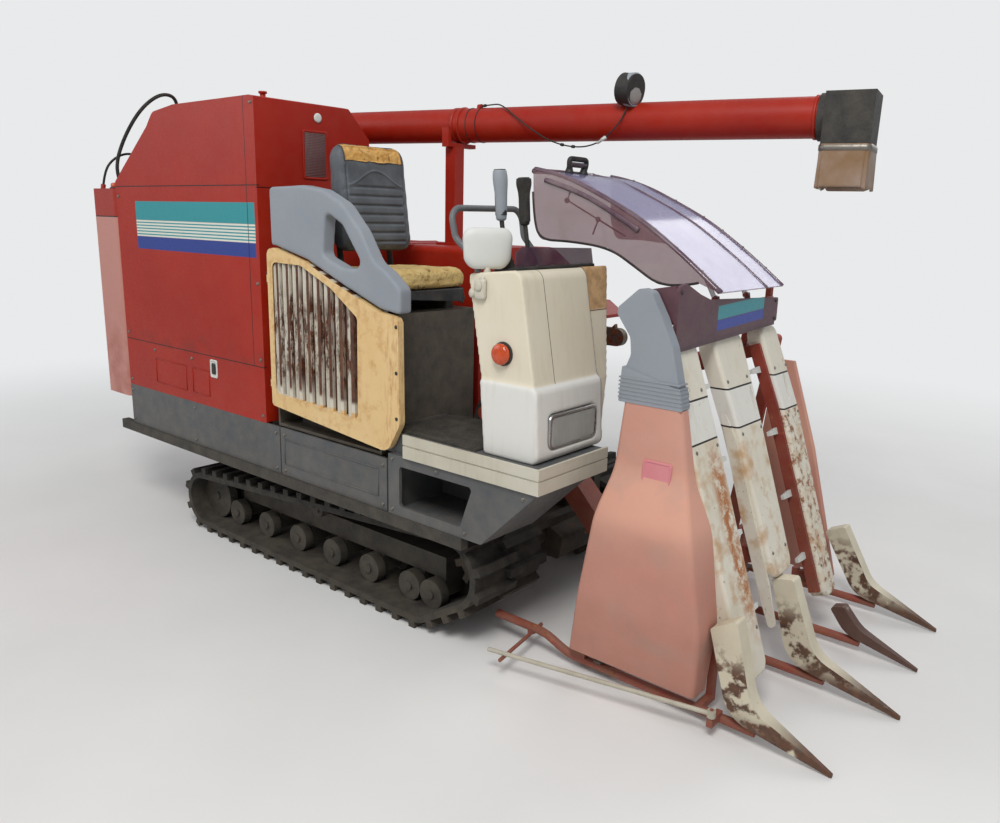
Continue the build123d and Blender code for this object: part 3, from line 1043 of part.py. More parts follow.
# Hood over the cases, in a tipping part and a fixed strip on its left
HOOD_TOP = (  # x, z from the rear edge to the front edge
    (540, 1783), (672, 1762), (902, 1661), (1022, 1600), (1113, 1541), (1233, 1457), (1340, 1372),
)
HOOD_SIDE_LOW = (  # x, z from the front to the rear edge
    (1262, 1400), (1215, 1388), (1108, 1384), (1012, 1440), (900, 1502), (720, 1520), (580, 1520), (548, 1600),
)
ROOF_BENDS = (2, 400, 1500, 900, 1500, 1500, 2)         # radius at each point of the roof
SIDE_BENDS = (8, 30, 60, 60, 100, 200, 40, 60)          # and of the side wall's lower edge
HOOD_Y = (-300, 104)
HOOD_SIDE_Y = (110, 250)
HOOD_T = 5
HOOD_HINGE = (1290, 1345)       # x, z
HOOD_LUGS_Y = (-220, 30)
HOOD_PIN_R = 6
LUG_T = 8

# Narrow guide: a rod beside the machine, hinged at the right divider, lying on a strut of the header frame
GUIDE_R = 8
GUIDE_Z = 84
GUIDE_PIN_R = 6
GUIDE_HINGE = (1600, -652)      # x, y
STRUT_R = 7
STRUT_Z = GUIDE_Z - GUIDE_R - STRUT_R - SEAT_GAP

# Header frame: cross beam, divider pipes, posts to the cases, upper tube, and the arm to the pivot
CROSS_X = 1060
CROSS_Z = 110
BEAM = 80
PIPE_R = 16
PIPE_Z = 40
PIPE_TOP = PIPE_Z + PIPE_R
UPPER_X, UPPER_Z = 1200, 1120
SIDE_POSTS = (-526, 592)            # across
UPPER_R = 20
ARM_W = 110
SIDE_POST_X = 1100
FOOT_POSTS = (-500, -134, 240)      # across, one for each case
POST_W = 24
PIVOT_HALF = 30


with BuildPart() as header_frame:
    block((CROSS_X - BEAM / 2, CROSS_X + BEAM / 2), (-544, 600), (CROSS_Z - BEAM / 2, CROSS_Z + BEAM / 2))
    for y, root_rear, elbow, tip_x, *rest in DIVIDERS:
        front = tip_x - (PIPE_TOP + SEAT_GAP) * (tip_x - elbow[0]) / elbow[1]
        rod((CROSS_X, y, PIPE_Z), (front, y, PIPE_Z), PIPE_R)
        block((CROSS_X - BEAM / 2, CROSS_X + 20), (y - 14, y + 14), (PIPE_Z, CROSS_Z - 22))
    bent_rod(((668, -600, 92), (900, -600, 92), (1000, DIVIDERS[0][0], PIPE_Z), (1090, DIVIDERS[0][0], PIPE_Z)),
             (150, 150), PIPE_R)
    block((CROSS_X - BEAM / 2, CROSS_X + 20), (-610, -540), (72, 90))
    block((CROSS_X - BEAM / 2, CROSS_X + 20), (580, DIVIDERS[3][0] + 14), (70, 88))
    for (y, *rest), post_y, (foot, right, left) in zip(DIVIDERS, FOOT_POSTS, CASES):
        top = foot + 70
        x = face_x(top, CASE_DEPTH)
        low_y, high_y = sorted((y, post_y))
        block((x - 70, x - 46), (low_y - POST_W / 2, high_y + POST_W / 2), (PIPE_Z - 8, PIPE_Z + 16))
        block((x - 70, x - 46), (post_y - POST_W / 2, post_y + POST_W / 2), (PIPE_Z - 8, top))
        with BuildSketch(CASE_PLANE.offset(-CASE_DEPTH)) as pad:
            with Locations((post_y, down(top) + 4)):
                Rectangle(POST_W, 50)
        extrude(pad.sketch, amount=-64)
    bracket_z = (290, 310)
    cover_in = height_on([(z, outer) for z, rear, front, outer, inner in RIGHT_SECTIONS], bracket_z[0]) + COVER_T
    block((1090, 1180), (-546, -530), bracket_z)
    block((1150, 1180), (cover_in + SEAT_GAP, -540), bracket_z)
    for x, z in ((1095, 215), (1176, 900)):
        block((x, x + 28), (SIDE_POSTS[1], 662), (z - 12, z + 12))
    strap = (1285, 1305)
    slab_y(((strap[0], 1325), (strap[1], 1325), (strap[1], height_on(HOOD_TOP, strap[1] + 2) - HOOD_T - SEAT_GAP),
            (strap[0], height_on(HOOD_TOP, strap[0] + 2) - HOOD_T - SEAT_GAP)), 220, HOOD_SIDE_Y[1] - HOOD_T)
    block((GUIDE_HINGE[0] - 10, GUIDE_HINGE[0] + 10), (GUIDE_HINGE[1] - 12, DIVIDERS[0][0]), (PIPE_Z, GUIDE_Z - 15))
    rod((*GUIDE_HINGE, PIPE_Z + 10), (*GUIDE_HINGE, GUIDE_Z + 16), GUIDE_PIN_R)
    rod((822, -520, STRUT_Z), (878, -838, STRUT_Z), STRUT_R)
    block((825, 850), (-612, -588), (STRUT_Z, 92))
    for y in SIDE_POSTS:
        slab_y(((SIDE_POST_X - 80, CROSS_Z), (SIDE_POST_X - 10, CROSS_Z), (UPPER_X + 20, UPPER_Z),
                (UPPER_X - 20, UPPER_Z)), y - 12, y + 12)
    rod((UPPER_X, SIDE_POSTS[0] - 12, UPPER_Z), (UPPER_X, SIDE_POSTS[1] + 12, UPPER_Z), UPPER_R)
    for foot, right, left in CASES:
        with BuildSketch(CASE_PLANE.offset(-CASE_DEPTH)) as pad:
            with Locations(((right[0] + left[0]) / 2, down(UPPER_Z) + 18)):
                Rectangle(80, 44)
        extrude(pad.sketch, amount=-76)
    rod((PIVOT_X, RIGHT_RAIL_Y - STAND_T / 2 - 12, PIVOT_Z), (PIVOT_X, LEFT_RAIL_Y + STAND_T / 2 + 12, PIVOT_Z),
        PIVOT_R - RUNNING)
    rod((PIVOT_X, RIGHT_RAIL_Y + STAND_T / 2 + 2, PIVOT_Z), (PIVOT_X, LEFT_RAIL_Y - STAND_T / 2 - 2, PIVOT_Z), 52)
    arm_y = GEARBOX_Y
    rod((ARM_PIN[0], arm_y, ARM_PIN[1]), (ARM_PIN[0], LIFT_Y + LIFT_R + 6, ARM_PIN[1]), LIFT_PIN_R)
    slab_y(((PIVOT_X - 40, PIVOT_Z - 30), (PIVOT_X + 40, PIVOT_Z + 40), (CROSS_X + 30, CROSS_Z + 10),
            (CROSS_X - 40, CROSS_Z - 30)), arm_y - ARM_W / 2, arm_y + ARM_W / 2)
    for y in (SIDE_POSTS[0], 230):
        slab_y(((UPPER_X, UPPER_Z + 10), (UPPER_X + 18, UPPER_Z), (UPPER_X + 32, 1240), (PANEL_X, 1290),
                (PANEL_X, 1320), (PANEL_X - 30, 1322), (UPPER_X + 14, 1250)), y - 12, y + 12)
    rod((PANEL_X - 8 - SEAT_GAP, SIDE_POSTS[0] - 12, 1322), (PANEL_X - 8 - SEAT_GAP, 242, 1322), 8)
    hinge_x, hinge_z = HOOD_HINGE
    for y in HOOD_LUGS_Y:
        rod((hinge_x, y - 14, hinge_z), (hinge_x, y + 14, hinge_z), HOOD_PIN_R)
        slab_y(((hinge_x - 4, 1315), (hinge_x + 16, 1315), (hinge_x + 9, hinge_z + 8), (hinge_x - 9, hinge_z + 8)),
               y + LUG_T / 2 + 2, y + LUG_T / 2 + 10)
finish(header_frame, "header_frame")

# Cutter bar: a flat back on the divider pipes with a row of knife teeth
KNIFE_X = 1120
TOOTH = 50
with BuildPart() as cutter_bar:
    block((KNIFE_X, KNIFE_X + 30), (-604, 634), (PIPE_Z + PIPE_R + 0.3, PIPE_Z + PIPE_R + 8))
    for i in range(24):
        y = -590 + i * TOOTH
        slab_z(((KNIFE_X + 29, y), (KNIFE_X + 82, y + TOOTH / 2 - 8), (KNIFE_X + 82, y + TOOTH / 2 + 8),
                (KNIFE_X + 29, y + TOOTH)), PIPE_Z + PIPE_R + 3, PIPE_Z + PIPE_R + 7)
finish(cutter_bar, "cutter_bar")

# Tinted hood: a thin curved roof with a right side wall, hinged above the front panel


def hood_shell(low_y, high_y, right_wall, left_wall):
    """The roof between two places across, with the side walls that it has."""
    under = [(x - 2, z - HOOD_T) for x, z in reversed(HOOD_TOP)]
    slab_y((*HOOD_TOP, *under), low_y, high_y, corner=(*ROOF_BENDS, *reversed(ROOF_BENDS)))
    side = (*HOOD_TOP, *HOOD_SIDE_LOW)
    if right_wall:
        slab_y(side, low_y, low_y + HOOD_T, corner=(*ROOF_BENDS, *SIDE_BENDS))
    if left_wall:
        slab_y(side, high_y - HOOD_T, high_y, corner=(*ROOF_BENDS, *SIDE_BENDS))


with BuildPart() as hood:
    hood_shell(*HOOD_Y, True, False)
    for y in HOOD_LUGS_Y:
        slab_y(((hinge_x - 10, hinge_z), (hinge_x, hinge_z + 12), (hinge_x - 45, hinge_z + 95), (hinge_x - 65, hinge_z + 97)),
               y - LUG_T / 2, y + LUG_T / 2)
        rod((hinge_x, y - LUG_T / 2, hinge_z), (hinge_x, y + LUG_T / 2, hinge_z), 2 * HOOD_PIN_R)
        rod((hinge_x, y - LUG_T, hinge_z), (hinge_x, y + LUG_T, hinge_z), HOOD_PIN_R + RUNNING, mode=Mode.SUBTRACT)
    for y in (-95, 5):
        rod((560, y, 1776), (566, y, 1812), 8)
    rod((566, -103, 1812), (566, 13, 1812), 10)
finish(hood, "hood")

with BuildPart() as hood_side:
    hood_shell(*HOOD_SIDE_Y, False, True)
finish(hood_side, "hood_side")

with BuildPart() as narrow_guide:
    rod((813, -826, GUIDE_Z), (GUIDE_HINGE[0], GUIDE_HINGE[1], GUIDE_Z), GUIDE_R)
    rod((GUIDE_HINGE[0], GUIDE_HINGE[1], GUIDE_Z - 12), (GUIDE_HINGE[0], GUIDE_HINGE[1], GUIDE_Z + 12), 14)
    rod((GUIDE_HINGE[0], GUIDE_HINGE[1], GUIDE_Z - 20), (GUIDE_HINGE[0], GUIDE_HINGE[1], GUIDE_Z + 20), GUIDE_PIN_R + RUNNING,
        mode=Mode.SUBTRACT)
finish(narrow_guide, "narrow_guide")

# Lift cylinder of the header
lift_dx = ARM_PIN[0] - FRAME_PIN[0]
lift_dz = ARM_PIN[1] - FRAME_PIN[1]
LIFT_LENGTH = hypot(lift_dx, lift_dz)
LIFT_BARREL = 0.66 * LIFT_LENGTH
with BuildPart() as lift_cylinder:
    rod(along(FRAME_PIN, lift_dx, lift_dz, 18, LIFT_Y), along(FRAME_PIN, lift_dx, lift_dz, LIFT_BARREL, LIFT_Y), LIFT_R)
    rod((FRAME_PIN[0], LIFT_Y - 20, FRAME_PIN[1]), (FRAME_PIN[0], LIFT_Y + 20, FRAME_PIN[1]), LIFT_R)
    rod((FRAME_PIN[0], LIFT_Y - 40, FRAME_PIN[1]), (FRAME_PIN[0], LIFT_Y + 40, FRAME_PIN[1]), LIFT_PIN_R + RUNNING,
        mode=Mode.SUBTRACT)
    rod(along(FRAME_PIN, lift_dx, lift_dz, 60, LIFT_Y), along(FRAME_PIN, lift_dx, lift_dz, LIFT_LENGTH, LIFT_Y),
        LIFT_ROD_R + RUNNING, mode=Mode.SUBTRACT)
finish(lift_cylinder, "lift_cylinder")

with BuildPart() as lift_rod:
    rod(along(FRAME_PIN, lift_dx, lift_dz, 61, LIFT_Y), along(FRAME_PIN, lift_dx, lift_dz, LIFT_LENGTH - 20, LIFT_Y),
        LIFT_ROD_R)
    rod((ARM_PIN[0], LIFT_Y - 16, ARM_PIN[1]), (ARM_PIN[0], LIFT_Y + 16, ARM_PIN[1]), LIFT_EYE_R + 9)
    rod((ARM_PIN[0], LIFT_Y - 20, ARM_PIN[1]), (ARM_PIN[0], LIFT_Y + 20, ARM_PIN[1]), LIFT_EYE_R, mode=Mode.SUBTRACT)
finish(lift_rod, "lift_rod")
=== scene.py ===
import math

import bmesh
import bpy
import numpy as np
from mathutils import Matrix, Vector, noise


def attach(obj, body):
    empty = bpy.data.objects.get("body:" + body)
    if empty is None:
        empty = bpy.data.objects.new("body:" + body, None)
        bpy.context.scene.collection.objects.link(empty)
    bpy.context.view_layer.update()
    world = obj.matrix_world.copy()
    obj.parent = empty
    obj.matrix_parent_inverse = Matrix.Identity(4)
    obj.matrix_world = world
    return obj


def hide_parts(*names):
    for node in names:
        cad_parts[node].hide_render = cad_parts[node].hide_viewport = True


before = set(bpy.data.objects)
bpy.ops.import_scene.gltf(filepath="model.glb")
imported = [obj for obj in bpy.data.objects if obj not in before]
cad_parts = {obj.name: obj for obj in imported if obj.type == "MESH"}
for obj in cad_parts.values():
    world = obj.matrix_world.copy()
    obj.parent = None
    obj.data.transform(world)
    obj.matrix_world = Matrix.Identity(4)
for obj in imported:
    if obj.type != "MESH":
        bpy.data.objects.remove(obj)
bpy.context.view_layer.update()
SCENE = bpy.context.scene

# Looks of a small tracked combine harvester. Metres; +X forward, +Y the machine's left, +Z up.


# Colour and node helpers
def ink(hex_code, alpha=1.0):
    """sRGB hex to linear colour: below 0.04045 divide by 12.92, above it the 2.4 power curve."""
    srgb = np.array([int(hex_code[i:i + 2], 16) for i in (1, 3, 5)]) / 255
    linear = np.where(srgb <= 0.04045, srgb / 12.92, ((srgb + 0.055) / 1.055) ** 2.4)
    return (*(float(c) for c in linear), alpha)


def add(tree, kind, plugs=(), **settings):
    """Adds one node, sets its properties, and fills its sockets with values or other nodes' outputs."""
    made = tree.nodes.new(kind)
    for key, value in settings.items():
        setattr(made, key, value)
    for key, value in dict(plugs).items():
        socket = made.inputs[key]
        if isinstance(value, bpy.types.NodeSocket):
            tree.links.new(value, socket)
        else:
            socket.default_value = value
    return made


def start(name):
    """An empty material with its shader, its object coordinates and their three parts."""
    material = bpy.data.materials.new(name)
    material.use_nodes = True
    tree = material.node_tree
    tree.nodes.clear()
    shader = add(tree, "ShaderNodeBsdfPrincipled")
    add(tree, "ShaderNodeOutputMaterial", {"Surface": shader.outputs[0]})
    where = add(tree, "ShaderNodeTexCoord").outputs["Object"]
    parts = add(tree, "ShaderNodeSeparateXYZ", {0: where}).outputs
    return material, tree, shader, where, parts


def maths(tree, operation, *values, **settings):
    """The result of one step of arithmetic on values."""
    return add(tree, "ShaderNodeMath", dict(enumerate(values)), operation=operation, **settings).outputs[0]


def cloud(tree, where, size_mm, low, high, detail=4, rough=0.55):
    """Noise with features of a real size, stretched so that low becomes 0 and high becomes 1."""
    lumps = add(tree, "ShaderNodeTexNoise", {"Vector": where, "Scale": 1000 / size_mm, "Detail": detail,
                                             "Roughness": rough}).outputs["Fac"]
    return add(tree, "ShaderNodeMapRange", {"Value": lumps, "From Min": low, "From Max": high}).outputs[0]


def drawn_out(tree, where, share):
    """Coordinates in which a pattern is drawn out upwards; the share is its scale in that direction."""
    return add(tree, "ShaderNodeMapping", {"Vector": where, "Scale": (1, 1, share)}).outputs[0]


def ramp(tree, value, low, high):
    """0 below low, 1 above high, and a smooth step between; low above high turns it round."""
    return add(tree, "ShaderNodeMapRange", {"Value": value, "From Min": low, "From Max": high},
               interpolation_type="SMOOTHSTEP").outputs[0]


def times(tree, *values):
    """The product of masks."""
    made = values[0]
    for value in values[1:]:
        made = maths(tree, "MULTIPLY", made, value, use_clamp=True)
    return made


def over(tree, under, colour, mask):
    """One colour laid over another where the mask is 1."""
    return add(tree, "ShaderNodeMix", {0: mask, 6: under, 7: colour}, data_type="RGBA").outputs[2]


def patches(tree, where, one, other, size_mm, detail=6):
    """Two colours in soft patches of one size."""
    return over(tree, ink(one), ink(other), cloud(tree, where, size_mm, 0.3, 0.7, detail=detail))


def band(tree, value, low, high, soft=0.002):
    """1 between two places along one axis."""
    return times(tree, ramp(tree, value, low - soft, low + soft), ramp(tree, value, high + soft, high - soft))


def relief(tree, height, depth_mm, under=None):
    """A bump of a real depth from a height between 0 and 1."""
    plugs = {"Height": height, "Distance": depth_mm / 1000, "Strength": 1.0}
    if under is not None:
        plugs["Normal"] = under
    return add(tree, "ShaderNodeBump", plugs).outputs[0]


RUST_DARK, RUST_LIGHT, DUST, SOIL = "#5A2C16", "#A4622F", "#A89A82", "#6E6250"
FLUTE_PITCH = 0.0675     # of the fluted sheet and the bars in the engine door


def weathered(name, base, faded, fade=(0.35, 0.75), dust=0.35, dust_top=0.9, rust=None, rough=0.45, metallic=0.0,
              grain_mm=1.2, grain_depth=0.03, grime=None, extra=None, coat=0.0, gloss=0.5):
    """A finish with patches of fading, dust that thickens towards the ground, and rust spots where rust gives
    (patch size in mm, threshold of the noise)."""
    material, tree, shader, where, parts = start(name)
    colour = over(tree, ink(base), ink(faded), cloud(tree, where, 420, *fade))
    mottled = cloud(tree, where, 60, 0.3, 0.8)
    colour = over(tree, colour, ink(DUST), times(tree, mottled, 0.03 + 0.25 * dust))
    if extra is not None:
        colour = extra(tree, colour, where, parts)
    wear = cloud(tree, where, 9, 0.35, 0.75, detail=6)
    roughness = add(tree, "ShaderNodeMapRange", {"Value": wear, "To Min": rough, "To Max": min(1, rough + 0.22)})
    if grime:
        streaks = cloud(tree, drawn_out(tree, where, 0.12), 26, 0.50, 0.78)
        runs = times(tree, streaks, cloud(tree, where, 210, 0.35, 0.7))
        colour = over(tree, colour, ink(grime), times(tree, runs, 0.32))
    low = times(tree, ramp(tree, parts[2], dust_top, 0.1), cloud(tree, where, 90, 0.2, 0.75, detail=6))
    colour = over(tree, colour, ink(SOIL), times(tree, low, dust))
    normal = relief(tree, cloud(tree, where, grain_mm, 0.3, 0.7, detail=2), grain_depth)
    if rust:
        size, threshold = rust
        spots = cloud(tree, where, size, threshold, threshold + 0.06, detail=8, rough=0.7)
        colour = over(tree, colour, patches(tree, where, RUST_DARK, RUST_LIGHT, 14), spots)
        normal = relief(tree, times(tree, spots, cloud(tree, where, 3, 0.2, 0.8)), 0.35, normal)
    tree.links.new(colour, shader.inputs["Base Color"])
    tree.links.new(roughness.outputs[0], shader.inputs["Roughness"])
    tree.links.new(normal, shader.inputs["Normal"])
    shader.inputs["Metallic"].default_value = metallic
    shader.inputs["Specular IOR Level"].default_value = gloss
    if coat:
        shader.inputs["Coat Weight"].default_value = coat
        shader.inputs["Coat Roughness"].default_value = 0.25
    return material


# Bands painted on the tank: colour, lower edge, upper edge, softness of both edges
STRIPES = [("#2F8C92", 1.548, 1.638, 0.002), ("#D9D6C9", 1.470, 1.548, 0.002)]
STRIPES += [("#2F8C92", low, low + 0.006, 0.001) for low in (1.478, 1.492, 1.506, 1.520, 1.534)]
STRIPES += [("#2B3E86", 1.409, 1.470, 0.002)]
SEAM = 0.0022     # half the width of the gap between two of the tank's panels


def panel_lines(tree, colour, lines):
    """Dark gaps between panels: each line is (value along an axis, place, half width, mask)."""
    for value, place, half, mask in lines:
        gap = times(tree, band(tree, value, place - half, place + half, 0.0006), mask)
        colour = over(tree, colour, ink("#1A1110"), gap)
    return colour


def tank_marks(tree, colour, where, parts):
    """The bands on the right side, brown stains below the upper gap, and the gaps between the tank's panels."""
    side = ramp(tree, parts[1], -0.815, -0.822)
    along = band(tree, parts[0], -1.546, -0.523)
    for code, low, high, soft in STRIPES:
        colour = over(tree, colour, ink(code), times(tree, side, along, band(tree, parts[2], low, high, soft)))
    stain = times(tree, side, band(tree, parts[2], 0.93, 1.02, 0.03), cloud(tree, where, 80, 0.5, 0.8))
    made = over(tree, colour, ink("#7A2415"), stain)
    above = times(tree, side, ramp(tree, parts[2], 0.936, 0.940))
    front = ramp(tree, parts[0], -0.512, -0.506)
    return panel_lines(tree, made, ((parts[2], 0.938, SEAM, side), (parts[0], -0.575, SEAM, above),
                                    (parts[2], 1.709, SEAM, side), (parts[2], 1.70, SEAM, front)))


def corner_marks(tree, colour, where, parts):
    """Red above, faded pink below, with a dark gap between the two."""
    made = over(tree, colour, ink("#B98074"), ramp(tree, parts[2], 1.562, 1.558))
    dirty = times(tree, ramp(tree, parts[2], 1.2, 0.7), cloud(tree, where, 120, 0.4, 0.7))
    made = over(tree, made, ink("#9C5648"), dirty)
    return panel_lines(tree, made, ((parts[2], 1.560, 0.003, 1.0),))


def case_marks(tree, colour, where, parts):
    """White enamel over the cases: orange stains and rust on each lower panel, cleaner panels between the seams."""
    below = ramp(tree, parts[2], 0.905, 0.895)
    stain = times(tree, cloud(tree, where, 70, 0.50, 0.68, detail=7), below, band(tree, parts[2], 0.30, 0.90, 0.15))
    made = over(tree, colour, ink("#B98A55"), times(tree, stain, 0.75))
    edge = times(tree, band(tree, parts[1], -0.470, -0.385, 0.03), band(tree, parts[2], 0.34, 0.86, 0.10),
                 cloud(tree, where, 38, 0.42, 0.54, detail=8, rough=0.72))
    made = over(tree, made, ink("#A8662E"), edge)
    left_case = times(tree, ramp(tree, parts[1], 0.14, 0.16),
                      cloud(tree, where, 34, 0.50, 0.60, detail=8, rough=0.72), below)
    made = over(tree, made, ink("#8C5A36"), left_case)
    clean = band(tree, parts[2], 0.906, 1.034, 0.001)
    made = over(tree, made, ink("#DCDAD2"), times(tree, clean, 0.8))
    return panel_lines(tree, made, ((parts[2], 1.035, 0.003, 1.0), (parts[2], 0.904, 0.003, 1.0)))


def divider_marks(tree, colour, where, parts):
    """Rust on a beak's sides and towards its tip; the third beak has lost nearly all its paint."""
    facing = add(tree, "ShaderNodeSeparateXYZ", {0: add(tree, "ShaderNodeNewGeometry").outputs["Normal"]}).outputs
    sideways = ramp(tree, maths(tree, "ABSOLUTE", facing[1]), 0.35, 0.7)
    rusty = patches(tree, where, "#3A211A", "#6B4128", 18)
    sides = times(tree, sideways, cloud(tree, where, 46, 0.47, 0.56, detail=7), ramp(tree, parts[2], 0.34, 0.22))
    tips = times(tree, ramp(tree, parts[2], 0.12, 0.04), cloud(tree, where, 60, 0.30, 0.42, detail=6))
    bare = times(tree, band(tree, parts[1], 0.205, 0.265, 0.004), cloud(tree, where, 90, 0.22, 0.34, detail=6))
    made = over(tree, over(tree, colour, rusty, sides), rusty, tips)
    return over(tree, made, ink("#52322A"), bare)


def console_marks(tree, colour, where, parts):
    """A whiter lower block, a stained leaning strip, and the gaps between the console's mouldings."""
    block = times(tree, ramp(tree, parts[2], 1.062, 1.058), ramp(tree, parts[1], -0.410, -0.414))
    made = over(tree, colour, ink("#D8D8D4"), times(tree, block, 0.8))
    strip = ramp(tree, parts[1], -0.424, -0.418)
    stain = over(tree, ink("#C79B62"), ink("#9A6A36"), cloud(tree, where, 30, 0.4, 0.7, detail=6))
    top = times(tree, strip, ramp(tree, parts[2], 1.275, 1.290))
    made = over(tree, made, stain, times(tree, top, 0.85))
    upper = ramp(tree, parts[2], 1.058, 1.060)
    return panel_lines(tree, made, ((parts[1], -0.676, 0.0014, upper), (parts[1], -0.421, 0.0018, 1.0),
                                    (parts[2], 1.282, 0.0014, strip)))


def panel_band(tree, colour, where, parts):
    """A plain teal and blue band, rising a little, across the front panel's left half."""
    across_left = times(tree, band(tree, parts[1], -0.262, 0.118), ramp(tree, parts[0], 1.322, 1.324))
    height = maths(tree, "SUBTRACT", parts[2], maths(tree, "MULTIPLY", parts[1], 0.04))
    made = over(tree, colour, ink("#3E8F98"), times(tree, across_left, band(tree, height, 1.288, 1.335)))
    return over(tree, made, ink("#34459A"), times(tree, across_left, band(tree, height, 1.250, 1.286)))


def cover_marks(tree, colour, where, parts):
    """Chalky resin with light painted in: a paler band on the curved ledge round the widest part is a painted
    highlight, the darkening below it towards the foot is painted shade, and grayer patches lie all over.
    """
    # Painted highlight on the ledge, then painted shade below the widest part.
    made = over(tree, colour, ink("#D39D86"), times(tree, band(tree, parts[2], 0.62, 0.82, 0.06), 0.6))
    made = over(tree, made, ink("#B77A6B"), times(tree, ramp(tree, parts[2], 0.62, 0.45), 0.55))
    return over(tree, made, ink("#A98F80"), times(tree, cloud(tree, where, 160, 0.52, 0.75, detail=5), 0.5))


def door_rust(tree, colour, where, parts):
    """Rust down the front side of each of the grille's bars and over them at mid height, with the last white paint
    between; on the door's frame, stains, runs down its front and rust round the grille."""
    grille = times(tree, band(tree, parts[0], -0.392, 0.150, 0.004), band(tree, parts[2], 0.842, 1.402, 0.004),
                   ramp(tree, parts[1], -0.8490, -0.8460))
    phase = maths(tree, "MULTIPLY_ADD", parts[0], 2 * math.pi / FLUTE_PITCH, math.pi / 2)
    front_side = ramp(tree, maths(tree, "SINE", phase), 0.50, 0.05)
    eaten = times(tree, cloud(tree, drawn_out(tree, where, 0.30), 34, 0.42, 0.52, detail=8, rough=0.78),
                  band(tree, parts[2], 0.90, 1.30, 0.06))
    low_end = ramp(tree, parts[2], 0.868, 0.890)
    flakes = maths(tree, "MAXIMUM", times(tree, front_side, low_end), eaten)
    bars = over(tree, ink("#CFC7B6"), patches(tree, where, "#33180E", "#643519", 20, detail=4), flakes)
    stain = times(tree, cloud(tree, where, 60, 0.52, 0.68, detail=9, rough=0.7), 0.6)
    made = over(tree, colour, ink("#C08A4C"), stain)
    runs = cloud(tree, drawn_out(tree, where, 0.15), 9, 0.50, 0.70, detail=7)
    made = over(tree, made, ink("#A05F28"), times(tree, ramp(tree, parts[0], 0.26, 0.34), runs, 0.6))
    frame_edge = times(tree, band(tree, parts[0], -0.405, 0.165, 0.008), band(tree, parts[2], 0.815, 1.42, 0.008))
    edge_rust = times(tree, frame_edge, cloud(tree, where, 34, 0.46, 0.7, detail=7), 0.6)
    return over(tree, over(tree, made, ink("#B07A40"), edge_rust), bars, grille)


def flute_rust(tree, colour, where, parts):
    """Rust over the fluted sheet: it fills the valleys and eats the ridges at mid height."""
    phase = maths(tree, "MULTIPLY", parts[0], 2 * math.pi / FLUTE_PITCH)
    ridge = ramp(tree, maths(tree, "SINE", phase), -0.15, 0.40)
    eaten = times(tree, cloud(tree, drawn_out(tree, where, 0.30), 30, 0.44, 0.56, detail=8, rough=0.78),
                  band(tree, parts[2], 0.93, 1.25, 0.07))
    both = maths(tree, "MAXIMUM", maths(tree, "SUBTRACT", 1.0, ridge), eaten)
    return over(tree, colour, patches(tree, where, "#2E170D", "#633518", 16), both)


# Oven-dried alkyd enamel, sprayed: satin, faded in patches, chalky where the sun falls
red_enamel = weathered("red_enamel", "#961806", "#A3220B", dust=0.04, rough=0.36, rust=(38, 0.76), gloss=0.3)
tank_enamel = weathered("tank_enamel", "#981805", "#A4220A", dust=0.02, rough=0.34, rust=(60, 0.80), gloss=0.3,
                        extra=tank_marks)
corner_enamel = weathered("corner_enamel", "#941A08", "#A0240E", dust=0.05, rough=0.4, extra=corner_marks)
frame_enamel = weathered("frame_enamel", "#9A2E1C", "#7E3222", dust=0.6, rough=0.55, rust=(30, 0.57))
rail_enamel = weathered("rail_enamel", "#8E2A1A", "#6E2A1C", dust=0.35, rough=0.5, rust=(26, 0.58))
door_enamel = weathered("door_enamel", "#D9B67C", "#E2C490", dust=0.1, rough=0.5, rust=(12, 0.70), grime="#B98448",
                        extra=door_rust)
flute_enamel = weathered("flute_enamel", "#BDB6A4", "#CFCABC", dust=0.3, rough=0.7, extra=flute_rust)
trim_enamel = weathered("trim_enamel", "#C9C4B4", "#B8B09C", dust=0.45, rough=0.45, rust=(26, 0.72), grime="#7E735E")
case_enamel = weathered("case_enamel", "#DCD6C6", "#D2C9B4", dust=0.15, rough=0.45, rust=(17, 0.640), grime="#9A7A52",
                        extra=case_marks)
dark_enamel = weathered("dark_enamel", "#4E5154", "#43464A", dust=0.5, rough=0.5, rust=(40, 0.72))
housing_enamel = weathered("housing_enamel", "#3E3A34", "#4C443A", dust=0.5, rough=0.6, rust=(60, 0.66))
chassis_enamel = weathered("chassis_enamel", "#1F1F1F", "#2A2926", dust=0.35, rough=0.65, rust=(40, 0.66))
plum_enamel = weathered("plum_enamel", "#4E2C38", "#5E3A44", dust=0.22, rough=0.3, coat=0.2, extra=panel_band)
# Glass-fibre resin cover, moulded and once red: the gel coat has chalked to pink
pink_gelcoat = weathered("pink_gelcoat", "#BE8472", "#C99482", fade=(0.3, 0.7), dust=0.2, rough=0.7, extra=cover_marks)
# ABS, injection moulded: fine grain and hand grime
ivory_abs = weathered("ivory_abs", "#DCD3BE", "#D6CBB2", dust=0.10, rough=0.5, grime="#A89C7E", extra=console_marks)
gray_abs = weathered("gray_abs", "#868C93", "#92979D", dust=0.12, rough=0.55, grain_mm=1.0, grain_depth=0.05)
# Gray enamel on the guard rail's round tube, worn through in spots
rail_gray = weathered("rail_gray", "#5C5F62", "#6E7072", dust=0.3, rough=0.45, rust=(14, 0.68))
# ABS again, smooth
white_abs = weathered("white_abs", "#D2D2CC", "#C6C6BE", dust=0.2, rough=0.45)
black_abs = weathered("black_abs", "#161617", "#202021", dust=0.25, rough=0.5)
lamp_abs = weathered("lamp_abs", "#8A9096", "#969CA2", dust=0.2, rough=0.5)
